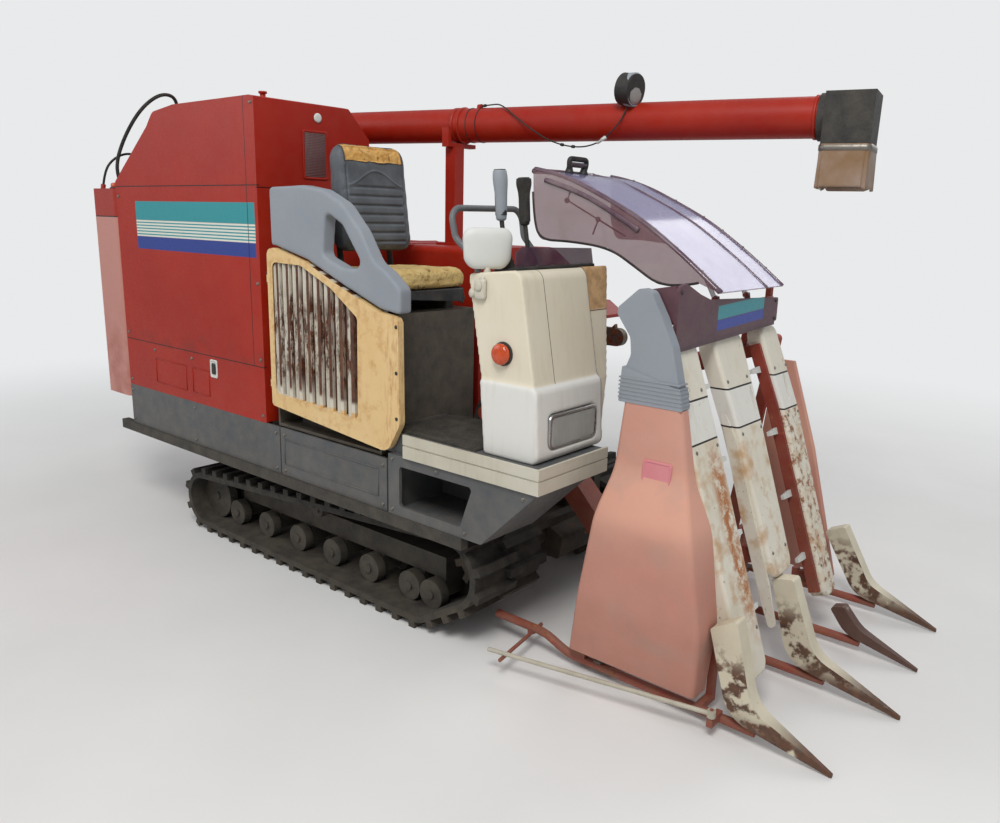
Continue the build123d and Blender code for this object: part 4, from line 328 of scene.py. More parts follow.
# Natural rubber filled with soot, pressed in a mould: dull, dust in its pores
track_rubber = weathered("track_rubber", "#191817", "#211F1D", dust=0.32, dust_top=0.30, rough=0.85, grain_mm=4,
                         grain_depth=0.4)
mat_rubber = weathered("mat_rubber", "#1A1A1B", "#242322", dust=0.45, dust_top=1.2, rough=0.8)
black_rubber = weathered("black_rubber", "#121212", "#1C1B1B", dust=0.25, rough=0.7)
# Mild steel, rolled: bright where it slides, brown elsewhere
worn_steel = weathered("worn_steel", "#6E6A62", "#574F44", dust=0.5, rough=0.5, metallic=0.6, rust=(24, 0.52))
# White enamel on the divider tips, over steel that rusts through
tip_enamel = weathered("tip_enamel", "#D8CFB8", "#CBBFA4", dust=0.3, rough=0.5, rust=(15, 0.68), extra=divider_marks)
# Ground and plated steel of rods, rims and mirror glass
bright_steel = weathered("bright_steel", "#B0B0AE", "#A0A09E", dust=0.1, rough=0.25, metallic=1.0)
# Woven wire, dull with dust
mesh_steel = weathered("mesh_steel", "#6E6E70", "#7C7A78", dust=0.3, rough=0.6, metallic=0.3)
# Polypropylene, moulded: the cover's recess, and the dark slot in it
recess_pink = weathered("recess_pink", "#C9707A", "#D08A8C", dust=0.2, rough=0.6)
plum_dark = weathered("plum_dark", "#3A1A20", "#48242A", dust=0.2, rough=0.5)
# PVC leathercloth, torn and dusty
rag_vinyl = weathered("rag_vinyl", "#16181A", "#232528", dust=0.35, rough=0.55)
# Zinc-plated fasteners, rusting in specks
zinc_steel = weathered("zinc_steel", "#8E8A80", "#76706A", dust=0.3, rough=0.4, metallic=0.9, rust=(8, 0.62))
# Sand-cast iron, left rough
cast_iron = weathered("cast_iron", "#33312F", "#262422", dust=0.5, rough=0.7, metallic=0.4, rust=(50, 0.60))


def sheet_plastic(name, tint, alpha, rough, haze, top=None):
    """A see-through sheet: its tint shows by alpha, with a haze of dust and fine scratches; a top colour, if given, is
    laid on its upward-facing faces as a painted reflection of the sky, which also makes them less see-through.
    """
    material, tree, shader, where, _ = start(name)
    dusty = times(tree, cloud(tree, where, 110, 0.35, 0.8, detail=7), haze)
    colour = over(tree, ink(tint), ink("#B9A9A4"), dusty)
    # Painted sky reflection: the top colour on faces that point upwards, and less see-through there.
    if top:
        facing = add(tree, "ShaderNodeTexCoord").outputs["Normal"]
        painted_sky_sheen = ramp(tree, add(tree, "ShaderNodeSeparateXYZ", {"Vector": facing}).outputs["Z"], 0.35, 0.55)
        colour = over(tree, colour, ink(top), painted_sky_sheen)
        dusty = maths(tree, "ADD", dusty, times(tree, painted_sky_sheen, 0.45))
    scratched = add(tree, "ShaderNodeMapping", {"Vector": where, "Scale": (1, 9, 1), "Rotation": (0.2, 0.1, 0.5)})
    lines = cloud(tree, scratched.outputs[0], 12, 0.55, 0.75, detail=5)
    roughness = add(tree, "ShaderNodeMapRange", {"Value": lines, "To Min": rough, "To Max": rough + 0.25})
    cover = add(tree, "ShaderNodeMapRange", {"Value": dusty, "To Min": alpha, "To Max": 1.0})
    tree.links.new(colour, shader.inputs["Base Color"])
    tree.links.new(roughness.outputs[0], shader.inputs["Roughness"])
    tree.links.new(cover.outputs[0], shader.inputs["Alpha"])
    tree.links.new(relief(tree, lines, 0.02), shader.inputs["Normal"])
    shader.inputs["Specular IOR Level"].default_value = 0.6
    return material


# Extruded acrylic, bent hot: smoke-purple, hazed
# The lavender top colour on its upward faces is a painted reflection of the sky.
tint_acrylic = sheet_plastic("tint_acrylic", "#7A4E55", 0.52, 0.10, 0.22, top="#928BB0")
screen_acrylic = sheet_plastic("screen_acrylic", "#4A3040", 0.72, 0.12, 0.3)
# Clear polycarbonate, moulded with ribs
clear_lens = sheet_plastic("clear_lens", "#B9BCB6", 0.55, 0.10, 0.4)
edge_acrylic = sheet_plastic("edge_acrylic", "#5C4250", 0.88, 0.2, 0.35)
# Soft PVC sheet, yellowed
chute_pvc = sheet_plastic("chute_pvc", "#8C6C4A", 0.86, 0.35, 0.5)


def amber():
    """Amber acrylic lens: some light passes through its slightly uneven skin."""
    material, tree, shader, where, _ = start("amber_acrylic")
    tree.links.new(patches(tree, where, "#E2561B", "#C9440F", 14, detail=4), shader.inputs["Base Color"])
    shader.inputs["Roughness"].default_value = 0.18
    shader.inputs["Transmission Weight"].default_value = 0.25
    shader.inputs["Coat Weight"].default_value = 0.4
    tree.links.new(relief(tree, cloud(tree, where, 5, 0.4, 0.6, detail=0), 0.2), shader.inputs["Normal"])
    return material


amber_acrylic = amber()


def foam():
    """Open-cell polyurethane foam, bare and weathered: yellow with brown stains and torn cells."""
    material, tree, shader, where, _ = start("weathered_foam")
    colour = over(tree, ink("#C9A765"), ink("#D9BF82"), cloud(tree, where, 30, 0.35, 0.7, detail=6))
    colour = over(tree, colour, ink("#6B5330"), cloud(tree, where, 48, 0.56, 0.66, detail=8, rough=0.7))
    colour = over(tree, colour, ink("#2F2A22"), cloud(tree, where, 36, 0.66, 0.72, detail=8, rough=0.7))
    tree.links.new(colour, shader.inputs["Base Color"])
    shader.inputs["Roughness"].default_value = 0.95
    normal = relief(tree, cloud(tree, where, 5, 0.3, 0.7, detail=6), 1.6)
    tree.links.new(relief(tree, cloud(tree, where, 22, 0.35, 0.65, detail=4), 4.0, normal), shader.inputs["Normal"])
    return material


def vinyl():
    """PVC leathercloth, embossed: a fine leather grain, cracked and dusty, with foam bare in the tear at its top."""
    material, tree, shader, where, parts = start("seat_vinyl")
    colour = over(tree, ink("#4A4E52"), ink("#62666A"), cloud(tree, where, 90, 0.35, 0.75, detail=6))
    wavy = maths(tree, "ADD", parts[2], times(tree, cloud(tree, where, 60, 0.3, 0.7), 0.008))
    tear = times(tree, band(tree, wavy, 1.812, 1.872, 0.001), band(tree, parts[1], -0.690, -0.392, 0.004),
                 ramp(tree, parts[0], -0.150, -0.140))
    rim = times(tree, band(tree, wavy, 1.806, 1.878, 0.002), band(tree, parts[1], -0.696, -0.386, 0.004),
                ramp(tree, parts[0], -0.152, -0.142))
    bare = patches(tree, where, "#C08A3C", "#D2A55A", 26)
    bare = over(tree, bare, ink("#7A5528"), cloud(tree, where, 34, 0.56, 0.68, detail=7))
    colour = over(tree, over(tree, colour, ink("#1B1A1A"), rim), bare, tear)
    cells = add(tree, "ShaderNodeTexVoronoi", {"Vector": where, "Scale": 420.0}, feature="DISTANCE_TO_EDGE")
    grain = ramp(tree, cells.outputs["Distance"], 0.0, 0.25)
    tree.links.new(colour, shader.inputs["Base Color"])
    shader.inputs["Roughness"].default_value = 0.5
    tree.links.new(relief(tree, grain, 0.15), shader.inputs["Normal"])
    return material


weathered_foam, seat_vinyl = foam(), vinyl()

NODE_FINISH = {
    "armrest_shell": gray_abs, "auger_cylinder": chassis_enamel, "auger_elbow": chassis_enamel,
    "auger_post": chassis_enamel, "auger_rest": red_enamel, "auger_rod": bright_steel, "auger_tube": red_enamel,
    "chute": chute_pvc, "console": ivory_abs, "controls": black_abs, "cover_cap": gray_abs,
    "cutter_bar": worn_steel, "dividers": tip_enamel, "drive_sprockets": cast_iron, "engine_block": cast_iron,
    "engine_door": door_enamel, "engine_housing": housing_enamel, "feed_chain": worn_steel, "floor_mat": mat_rubber,
    "front_panel": plum_enamel, "grain_tank": tank_enamel, "guard_rail": rail_gray, "header_frame": frame_enamel,
    "headlight": clear_lens, "hood": tint_acrylic, "hood_side": tint_acrylic, "left_cover": red_enamel,
    "lift_cylinder": chassis_enamel, "lift_rod": bright_steel, "main_frame": chassis_enamel,
    "marker_lamps": amber_acrylic, "mirror": white_abs, "narrow_guide": trim_enamel, "platform": dark_enamel,
    "platform_trim": trim_enamel, "raising_cases": case_enamel, "raising_tines": white_abs,
    "raising_rails": rail_enamel,
    "rear_corner_box": corner_enamel, "seat_back": seat_vinyl, "seat_frame": chassis_enamel,
    "seat_pad": weathered_foam, "side_cover_left": pink_gelcoat, "side_cover_right": pink_gelcoat,
    "side_skirts": dark_enamel, "spout": chassis_enamel, "step_box": dark_enamel, "straw_cutter": red_enamel,
    "threshing_body": red_enamel, "threshing_cover": red_enamel, "track_frame_left": chassis_enamel,
    "track_frame_right": chassis_enamel, "track_left": track_rubber, "track_right": track_rubber,
    "transmission": cast_iron, "windscreen": screen_acrylic, "work_lamp": black_abs,
    "hose_upper": black_rubber, "hose_lower": black_rubber, "lamp_cable": black_rubber,
}
for name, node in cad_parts.items():
    node.data.materials.clear()
    node.data.materials.append(NODE_FINISH[name])


# Camera at the photograph's place
FOCAL_PIXELS, FRAME_PIXELS = 827.2, 1000
CAMERA_PLACE, CAMERA_ANGLES = (2.57, -2.89, 1.60), (129.93, 13.19, 1.35)


def photo_camera():
    """The camera's axes from its compass direction, its pitch below the horizon and its roll, in degrees."""
    yaw, pitch, roll = (math.radians(a) for a in CAMERA_ANGLES)
    ahead = Vector((math.cos(yaw) * math.cos(pitch), math.sin(yaw) * math.cos(pitch), -math.sin(pitch)))
    level = Vector((math.sin(yaw), -math.cos(yaw), 0))
    rise = level.cross(ahead)
    right = level * math.cos(roll) + rise * math.sin(roll)
    up = -level * math.sin(roll) + rise * math.cos(roll)
    lens = bpy.data.cameras.new("photo_camera")
    lens.sensor_width = 36
    lens.lens = FOCAL_PIXELS / FRAME_PIXELS * lens.sensor_width
    lens.clip_end = 100
    camera = bpy.data.objects.new("photo_camera", lens)
    SCENE.collection.objects.link(camera)
    camera.rotation_euler = Matrix((right, up, -ahead)).transposed().to_euler()
    camera.location = CAMERA_PLACE
    SCENE.camera = camera


photo_camera()


# Mesh builders
def mesh_piece(name, points, faces, material=None):
    """A mesh object from an array of points and a list of faces."""
    mesh = bpy.data.meshes.new(name)
    mesh.from_pydata(np.asarray(points, float).tolist(), [], [list(map(int, f)) for f in faces])
    mesh.validate()
    mesh.polygons.foreach_set("use_smooth", np.full(len(mesh.polygons), True))
    mesh.update()
    piece = bpy.data.objects.new(name, mesh)
    SCENE.collection.objects.link(piece)
    if material:
        mesh.materials.append(material)
    return piece


# Pale floor, pale world and soft lamps
def studio():
    """A flat floor under three broad lamps. Far from the machine it fades, for camera rays, into the world's colour."""
    half, drop = 60, -0.001
    floor = mesh_piece("floor", [(-half, -half, drop), (half, -half, drop), (half, half, drop), (-half, half, drop)],
                       [(0, 1, 2, 3)])
    material, tree, shader, where, _ = start("pale_floor")
    backdrop = ink("#E9EAEB")
    tree.links.new(patches(tree, where, "#DCDAD6", "#E2E0DC", 900, detail=4), shader.inputs["Base Color"])
    shader.inputs["Roughness"].default_value = 0.95
    far = add(tree, "ShaderNodeVectorMath", {0: where}, operation="LENGTH").outputs["Value"]
    glow = add(tree, "ShaderNodeEmission", {"Color": backdrop, "Strength": 1.0})
    seen = add(tree, "ShaderNodeLightPath").outputs["Is Camera Ray"]
    fading = times(tree, ramp(tree, far, 2.6, 7.0), seen)
    both = add(tree, "ShaderNodeMixShader", {0: fading, 1: shader.outputs[0], 2: glow.outputs[0]})
    out = next(node for node in tree.nodes if node.type == "OUTPUT_MATERIAL")
    tree.links.new(both.outputs[0], out.inputs["Surface"])
    floor.data.materials.append(material)
    world = bpy.data.worlds.new("pale_world")
    SCENE.world = world
    world.use_nodes = True
    tree = world.node_tree
    tree.nodes.clear()
    rays = add(tree, "ShaderNodeLightPath")
    soft = add(tree, "ShaderNodeBackground", {"Color": ink("#E6EBF2"), "Strength": 0.55})
    pale = add(tree, "ShaderNodeBackground", {"Color": backdrop, "Strength": 1.0})
    sky = add(tree, "ShaderNodeMixShader", {0: rays.outputs["Is Camera Ray"], 1: soft.outputs[0], 2: pale.outputs[0]})
    add(tree, "ShaderNodeOutputWorld", {"Surface": sky.outputs[0]})
    for name, place, power, size in (("key", (3.0, -4.5, 6.5), 330, 2.5), ("fill", (-5.0, -5.0, 4.0), 90, 4.0),
                                     ("rim", (1.0, 6.0, 5.0), 120, 4.0)):
        lamp = bpy.data.lights.new(name, "AREA")
        lamp.energy, lamp.size = power, size
        light = bpy.data.objects.new(name, lamp)
        SCENE.collection.objects.link(light)
        light.location = place
        light.rotation_euler = (Vector((0, 0, 0.9)) - Vector(place)).to_track_quat("-Z", "Y").to_euler()


studio()
SCENE.view_settings.view_transform = "Standard"


# Surfaces over rings, profiles and paths
def ring_faces(count, around, caps=True):
    """Faces over rings of equally many points: point j of ring i joins point j + 1 and ring i + 1."""
    faces = [(i * around + j, i * around + (j + 1) % around, (i + 1) * around + (j + 1) % around, (i + 1) * around + j)
             for i in range(count - 1) for j in range(around)]
    if caps:
        faces += [tuple(range(around))[::-1], tuple(range((count - 1) * around, count * around))]
    return faces


def grid_faces(rows, columns):
    """Faces over a grid of points given row by row."""
    return [(r * columns + c, r * columns + c + 1, (r + 1) * columns + c + 1, (r + 1) * columns + c)
            for r in range(rows - 1) for c in range(columns - 1)]


def lofted(name, rings, finish, caps=True):
    """A skin over rings of equally many points."""
    rings = np.asarray(rings, float)
    return mesh_piece(name, rings.reshape(-1, 3), ring_faces(*rings.shape[:2], caps), finish)


def put(piece, body, stands_for=()):
    """Rides a piece on its body and says what it stands for."""
    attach(piece, body)
    if stands_for:
        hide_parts(*stands_for)
    return piece


def joined(name, parts, finish, body, stands_for=()):
    """One piece from several (points, faces) sets, riding on its body."""
    points, faces, base = [], [], 0
    for some_points, some_faces in parts:
        points.append(np.asarray(some_points, float))
        faces += [[base + k for k in face] for face in some_faces]
        base += len(some_points)
    return put(mesh_piece(name, np.concatenate(points), faces, finish), body, stands_for)


def across(direction):
    """Two unit vectors square to a direction."""
    direction = np.asarray(direction, float) / np.linalg.norm(direction)
    side = np.cross(direction, (0, 0, 1) if abs(direction[2]) < 0.9 else (1, 0, 0))
    side /= np.linalg.norm(side)
    return side, np.cross(direction, side)


def turned(profile, centre, axis, sides=32):
    """A profile of (radius, distance along the axis) turned about it: points and faces."""
    axis = np.asarray(axis, float) / np.linalg.norm(axis)
    side, up = across(axis)
    turn = np.arange(sides) * 2 * math.pi / sides
    rings = [np.asarray(centre) + axis * along + radius * (np.outer(np.cos(turn), side) + np.outer(np.sin(turn), up))
             for radius, along in profile]
    return np.concatenate(rings), ring_faces(len(rings), sides)


def swept(path, radii, sides=14, flat=1.0, up=(0, 0, 1)):
    """Ellipses of the given radii along a path, counter-clockwise about it; flat is their height over their width."""
    path = np.asarray(path, float)
    radii = np.broadcast_to(np.asarray(radii, float), (len(path),))
    runs = np.gradient(path, axis=0)
    turn = np.arange(sides) * 2 * math.pi / sides
    rings = []
    for point, run, radius in zip(path, runs, radii):
        run = run / np.linalg.norm(run)
        side = np.cross(run, up)
        side /= np.linalg.norm(side)
        rise = np.cross(run, side)
        rings.append(point + radius * (np.outer(np.cos(turn), side) + flat * np.outer(np.sin(turn), rise)))
    return np.concatenate(rings), ring_faces(len(rings), sides)


def smooth_line(points, count=60):
    """A quadratic B-spline from the first to the last control point: each span blends three points."""
    points = np.asarray(points, float)
    middles = (points[:-1] + points[1:]) / 2
    line, spans = [], len(points) - 2
    for k in range(spans):
        a = points[0] if k == 0 else middles[k]
        c = points[-1] if k == spans - 1 else middles[k + 1]
        b = points[k + 1]
        t = np.linspace(0, 1, max(3, count // spans), endpoint=k == spans - 1)[:, None]
        line.append((1 - t) ** 2 * a + 2 * t * (1 - t) * b + t ** 2 * c)
    return np.concatenate(line)


def rounded_loop(width, height, radius, steps=6):
    """A rounded rectangle round the origin, counter-clockwise, as (across, up) pairs."""
    loop = []
    for k, (sx, sy) in enumerate(((1, 1), (-1, 1), (-1, -1), (1, -1))):
        turn = np.linspace(0, math.pi / 2, steps) + k * math.pi / 2
        loop.append(np.stack([sx * (width / 2 - radius) + radius * np.cos(turn),
                              sy * (height / 2 - radius) + radius * np.sin(turn)], 1))
    return np.concatenate(loop)


def plates(loop, origin, x_axis, y_axis, levels):
    """A closed outline stepped through (inset, height) levels out of its plane: points and faces."""
    origin, x_axis, y_axis = (np.asarray(v, float) for v in (origin, x_axis, y_axis))
    x_axis, y_axis = x_axis / np.linalg.norm(x_axis), y_axis / np.linalg.norm(y_axis)
    out = np.cross(x_axis, y_axis)
    middle, size = (loop.max(0) + loop.min(0)) / 2, (loop.max(0) - loop.min(0)) / 2
    rings = []
    for inset, height in levels:
        ring = middle + (loop - middle) * (1 - inset / size)
        rings.append(origin + np.outer(ring[:, 0], x_axis) + np.outer(ring[:, 1], y_axis) + out * height)
    return np.concatenate(rings), ring_faces(len(rings), len(loop))


def heads(rows, radius, height, sides=6):
    """Screw heads at (point, outward direction) rows: a washer and a hexagon or a domed round head."""
    shapes = []
    for point, out in rows:
        shapes.append(turned(((radius * 1.25, -0.0005), (radius * 1.25, height * 0.2)), point, out, 16))
        if sides == 6:
            shapes.append(turned(((radius, 0), (radius, height * 0.85), (radius * 0.88, height)), point, out, 6))
        else:
            shapes.append(turned(((radius, 0), (radius * 0.96, height * 0.5), (radius * 0.6, height)), point, out, 16))
    return shapes


def screws(name, rows, radius, height, finish, body, sides=6):
    """One piece of screw heads."""
    return joined(name, heads(rows, radius, height, sides), finish, body)


def pressed(corners, radius=0.004, flat=0.7):
    """Half-round beads along the sides of a closed outline."""
    normal = np.cross(np.subtract(corners[1], corners[0]), np.subtract(corners[2], corners[1]))
    return [swept([a, b], radius, 8, flat, normal) for a, b in zip(corners, corners[1:] + corners[:1])]


def bake(piece):
    """Replaces a piece's mesh by its mesh with the modifiers applied, smooth shaded."""
    depsgraph = bpy.context.evaluated_depsgraph_get()
    made = bpy.data.meshes.new_from_object(piece.evaluated_get(depsgraph))
    piece.modifiers.clear()
    piece.data = made
    made.polygons.foreach_set("use_smooth", np.full(len(made.polygons), True))


def divided(piece, levels):
    """Rounds a piece's mesh by subdivision."""
    finer = piece.modifiers.new("round", "SUBSURF")
    finer.levels = finer.render_levels = levels
    bake(piece)


def remeshed(piece, voxel):
    """Gives a piece an even mesh when it is baked."""
    skin = piece.modifiers.new("skin", "REMESH")
    skin.mode, skin.voxel_size, skin.use_smooth_shade = "VOXEL", voxel, True


def places_of(piece):
    """The places of a piece's vertices, one a row."""
    places = np.empty(len(piece.data.vertices) * 3)
    piece.data.vertices.foreach_get("co", places)
    return places.reshape(-1, 3)


BOOM_FOOT, BOOM_YAW, BOOM_DROP = (-1.785, -0.216, 2.030), 9.9, 0.75     # metres and degrees


def boom(*points):
    """Points given along, across and above the auger's axis in mm, placed in the row frame in metres."""
    turn = Matrix.Rotation(math.radians(BOOM_YAW), 3, "Z") @ Matrix.Rotation(math.radians(BOOM_DROP), 3, "Y")
    return [tuple(turn @ (Vector(p) / 1000) + Vector(BOOM_FOOT)) for p in points]


def boom_axis(x):
    """A point on the auger's axis and the axis' direction."""
    here, ahead = (np.array(p) for p in boom((x, 0, 0), (x + 1000, 0, 0)))
    return here, ahead - here


# Hoses and the lamp's cable
def cord_curve(name, points, diameter, finish):
    """A NURBS spline through its route's control points, with a round section."""
    curve = bpy.data.curves.new(name, "CURVE")
    curve.dimensions = "3D"
    spline = curve.splines.new("NURBS")
    spline.points.add(len(points) - 1)
    for control, place in zip(spline.points, points):
        control.co = (*place, 1)
    spline.order_u = 3
    spline.use_endpoint_u = True
    curve.resolution_u = 10
    curve.bevel_resolution = 4
    piece = bpy.data.objects.new(name, curve)
    SCENE.collection.objects.link(piece)
    line = bpy.data.meshes.new_from_object(piece)
    places = np.array([v.co for v in line.vertices])
    bpy.data.meshes.remove(line)
    curve.bevel_depth = diameter / 2
    curve.use_fill_caps = True
    curve.materials.append(finish)
    return piece, places


def metres(*points):
    """Points given in mm."""
    return [tuple(v / 1000 for v in point) for point in points]


HOSE_UPPER = metres(
    (-1754, -400, 1600), (-1850, -400, 1604), (-1928, -398, 1668), (-1958, -396, 1780), (-1958, -394, 1920),
    (-1930, -392, 2040), (-1880, -394, 2110), (-1830, -412, 2158), (-1797, -455, 2192), (-1783, -520, 2192),
    (-1788, -582, 2157), (-1803, -640, 2097), (-1822, -690, 2015), (-1838, -730, 1928), (-1848, -757, 1846),
    (-1850, -762, 1773), (-1847, -745, 1714))
HOSE_LOWER = metres(
    (-1752, -470, 1650), (-1815, -474, 1654), (-1862, -484, 1700), (-1880, -510, 1768), (-1878, -560, 1836),
    (-1872, -622, 1876), (-1878, -694, 1886), (-1892, -760, 1850), (-1904, -800, 1790), (-1908, -811, 1722))
CABLE = boom((1746, -6, 83), (1800, -14, 86), (1860, -42, 84), (1922, -74, 54), (1990, -90, 8), (2062, -92, -38),
             (2138, -87, -78), (2220, -84, -101), (2305, -86, -106), (2380, -92, -84), (2436, -96, -38), (2468, -90, 8),
             (2476, -65, 54.3))
for name, route, diameter, length in (("hose_upper", HOSE_UPPER, 0.018, 1.421),
                                      ("hose_lower", HOSE_LOWER, 0.012, 0.644)):
    hose, line = cord_curve(name + "_rubber", route, diameter, black_rubber)
    put(hose, "chassis", stands_for=(name,))
cable, line = cord_curve("lamp_cable_lead", CABLE, 0.006, black_rubber)
put(cable, "auger_boom", stands_for=("lamp_cable",))
steps = np.concatenate([[0], np.cumsum(np.linalg.norm(np.diff(line, axis=0), axis=1))])


def cable_at(share):
    """A place on the cable's line at a share of its length, and its direction there."""
    here = [np.interp(share * steps[-1], steps, line[:, k]) for k in range(3)]
    ahead = [np.interp(min(1, share + 0.02) * steps[-1], steps, line[:, k]) for k in range(3)]
    return np.array(here), np.array(ahead) - np.array(here)


beads = []
for share in (0.02, 0.585, 0.645):
    here, run = cable_at(share)
    beads.append(turned(((0.0035, -0.009), (0.0065, -0.006), (0.0065, 0.006), (0.0035, 0.009)), here, run, 16))
beads = joined("cable_beads", beads, black_rubber, "auger_boom")
here, run = cable_at(0.80)
side, up = across(run)
plug = []
for along, w, h in ((-0.024, 0.008, 0.006), (-0.020, 0.012, 0.009), (0.000, 0.012, 0.009), (0.001, 0.015, 0.012),
                    (0.020, 0.015, 0.012), (0.024, 0.009, 0.007)):
    loop = rounded_loop(w, h, 0.002, 3)
    plug.append(here + run / np.linalg.norm(run) * along + np.outer(loop[:, 0], side) + np.outer(loop[:, 1], up))
plug = put(lofted("cable_connector", plug, white_abs), "auger_boom")


# Seat: foam pad, torn vinyl skirt and pleated back
SEAT_X, SEAT_Y = 0.0725, -0.540          # middle of the pad; the back stands on the same line
PAD_LONG, PAD_WIDE = 0.363, 0.406
PAD_LEVELS = ((0.034, 1.3185), (0.014, 1.3190), (0.003, 1.3300), (0.000, 1.3500), (0.002, 1.3720), (0.008, 1.3860),
              (0.020, 1.3960), (0.040, 1.3990), (0.070, 1.3960), (0.110, 1.3920), (0.150, 1.3900),
              (0.172, 1.3895))     # inset and height, from the underside to the dished crown


def lay_noise(points, size, seed):
    """Smooth noise from -1 to 1 at points, with features of one size."""
    shift = Vector((seed * 7.1, seed * 3.3, seed * 5.7))
    return np.array([noise.noise(Vector(p) / size + shift) for p in points])


def foam_pad():
    """A slab of bare foam: rounded loops from its underside to its crown, its sides pulled in between the corners,
    its skin and edge uneven where it has crumbled."""
    rings = []
    for inset, z in PAD_LEVELS:
        loop = rounded_loop(PAD_LONG - 2 * inset, PAD_WIDE - 2 * inset, max(0.060 - inset * 0.35, 0.008), 12)
        pull = 0.010 * np.cos(math.pi * np.clip(loop[:, 1] / PAD_WIDE, -0.5, 0.5)) * (abs(loop[:, 0]) > 0.12)
        loop[:, 0] -= np.sign(loop[:, 0]) * pull
        rings.append(np.column_stack([loop[:, 0] + SEAT_X, loop[:, 1] + SEAT_Y, np.full(len(loop), z)]))
    pad = lofted("seat_pad_foam", rings, weathered_foam)
    divided(pad, 2)
    places = places_of(pad)
    sides = np.clip((1.392 - places[:, 2]) / 0.02, 0, 1) * (places[:, 2] > 1.322)
    crumbs = lay_noise(places, 0.016, 1) * 0.0045 + lay_noise(places, 0.045, 2) * 0.006
    out = places[:, :2] - (SEAT_X, SEAT_Y)
    out /= np.linalg.norm(out, axis=1)[:, None] + 1e-6
    places[:, :2] += out * (np.minimum(crumbs, 0.002) * sides)[:, None]
    top = np.clip((places[:, 2] - 1.385) / 0.008, 0, 1)
    places[:, 2] += top * (lay_noise(places, 0.11, 3) * 0.005 + lay_noise(places, 0.02, 4) * 0.0016 - 0.002)
    pad.data.vertices.foreach_set("co", places.ravel())
    put(pad, "chassis", stands_for=("seat_pad",))


foam_pad()

BACK_FOOT, BACK_MIDDLE, BACK_WIDE, BACK_TALL, BACK_THICK = 1.440, 1.663, 0.410, 0.446, 0.079
SWELL_FRAMES, SWELL_MOST = 20, 0.008     # frames of cloth simulation; the most that it may swell, in metres
CHANNELS = np.arange(1.492, 1.735, 0.036)


def back_front(z):
    """Place along the machine of the seat back's front face at a height: it leans back 6 degrees."""
    return -0.055 - (z - BACK_FOOT) * math.tan(math.radians(6))


def swollen(back):
    """Cloth under pressure from inside, without weight; each point keeps its direction but moves no further than
    the most that is allowed."""
    rest = places_of(back)
    cloth = back.modifiers.new("cloth", "CLOTH")
    cloth.settings.use_pressure = True
    cloth.settings.uniform_pressure_force = 4
    cloth.settings.effector_weights.gravity = 0
    cloth.settings.quality = 5
    cloth.point_cache.frame_start, cloth.point_cache.frame_end = 1, SWELL_FRAMES
    for frame_number in range(1, SWELL_FRAMES + 1):
        SCENE.frame_set(frame_number)
    bake(back)
    SCENE.frame_set(1)
    step = places_of(back) - rest
    size = np.linalg.norm(step, axis=1)[:, None]
    step *= np.minimum(1, SWELL_MOST / np.maximum(size, 1e-9))
    back.data.vertices.foreach_set("co", (rest + step).ravel())


def seat_back():
    """A slab with rounded corners, swollen as cloth, then sewn: cross channels under a swooping line of piping, two
    upright seams, and a torn place at the top. Each seam is a bell curve across its line."""
    rings = []
    for share, inset in ((0.0, 0.030), (0.10, 0.012), (0.5, 0.006), (0.90, 0.012), (1.0, 0.030)):
        loop = rounded_loop(BACK_WIDE - 2 * inset, BACK_TALL - 2 * inset, 0.050, 7)
        z = BACK_MIDDLE + loop[:, 1]
        lean = 1 - 0.22 * np.clip((z - 1.70) / 0.186, 0, 1)
        x = back_front(z) - 0.008 - (BACK_THICK * lean) * (1 - share)
        narrow = 1 - 0.10 * np.clip((z - 1.66) / 0.22, 0, 1) ** 2
        rings.append(np.column_stack([x, SEAT_Y + loop[:, 0] * narrow, z]))
    back = lofted("seat_back_vinyl", rings, seat_vinyl)
    remeshed(back, 0.006)
    bake(back)
    swollen(back)
    divided(back, 1)
    places = places_of(back)
    normals = np.empty(places.size)
    back.data.vertex_normals.foreach_get("vector", normals)
    normals = normals.reshape(-1, 3)
    u, z = places[:, 1] - SEAT_Y, places[:, 2]
    facing = np.clip((normals[:, 0] - 0.55) / 0.3, 0, 1)
    inner = np.clip((0.146 - abs(u)) / 0.006, 0, 1)
    swoop = 1.742 + 0.030 * np.cos(math.pi * u / 0.155)
    channels = sum(np.exp(-((z - at) / 0.0052) ** 2) for at in CHANNELS) * inner
    channels *= np.clip((swoop - 0.010 - z) / 0.01, 0, 1)
    uprights = np.exp(-((abs(u) - 0.150) / 0.0045) ** 2) * np.clip((1.80 - z) / 0.02, 0, 1)
    piping = np.exp(-((z - swoop) / 0.004) ** 2) * inner
    puckers = lay_noise(places * (1, 0.4, 1), 0.03, 5) * 0.0012
    depth = facing * (0.0065 * channels + 0.0055 * uprights - 0.004 * piping - puckers)
    torn = facing * np.clip((z - (1.806 + lay_noise(places, 0.05, 6) * 0.006)) / 0.006, 0, 1)
    torn *= np.clip((1.868 - z) / 0.006, 0, 1) * np.clip((0.150 - abs(u)) / 0.01, 0, 1)
    depth = depth + torn * (0.006 + lay_noise(places, 0.014, 7) * 0.003)
    places -= normals * depth[:, None]
    back.data.vertices.foreach_set("co", places.ravel())
    put(back, "chassis", stands_for=("seat_back",))


seat_back()


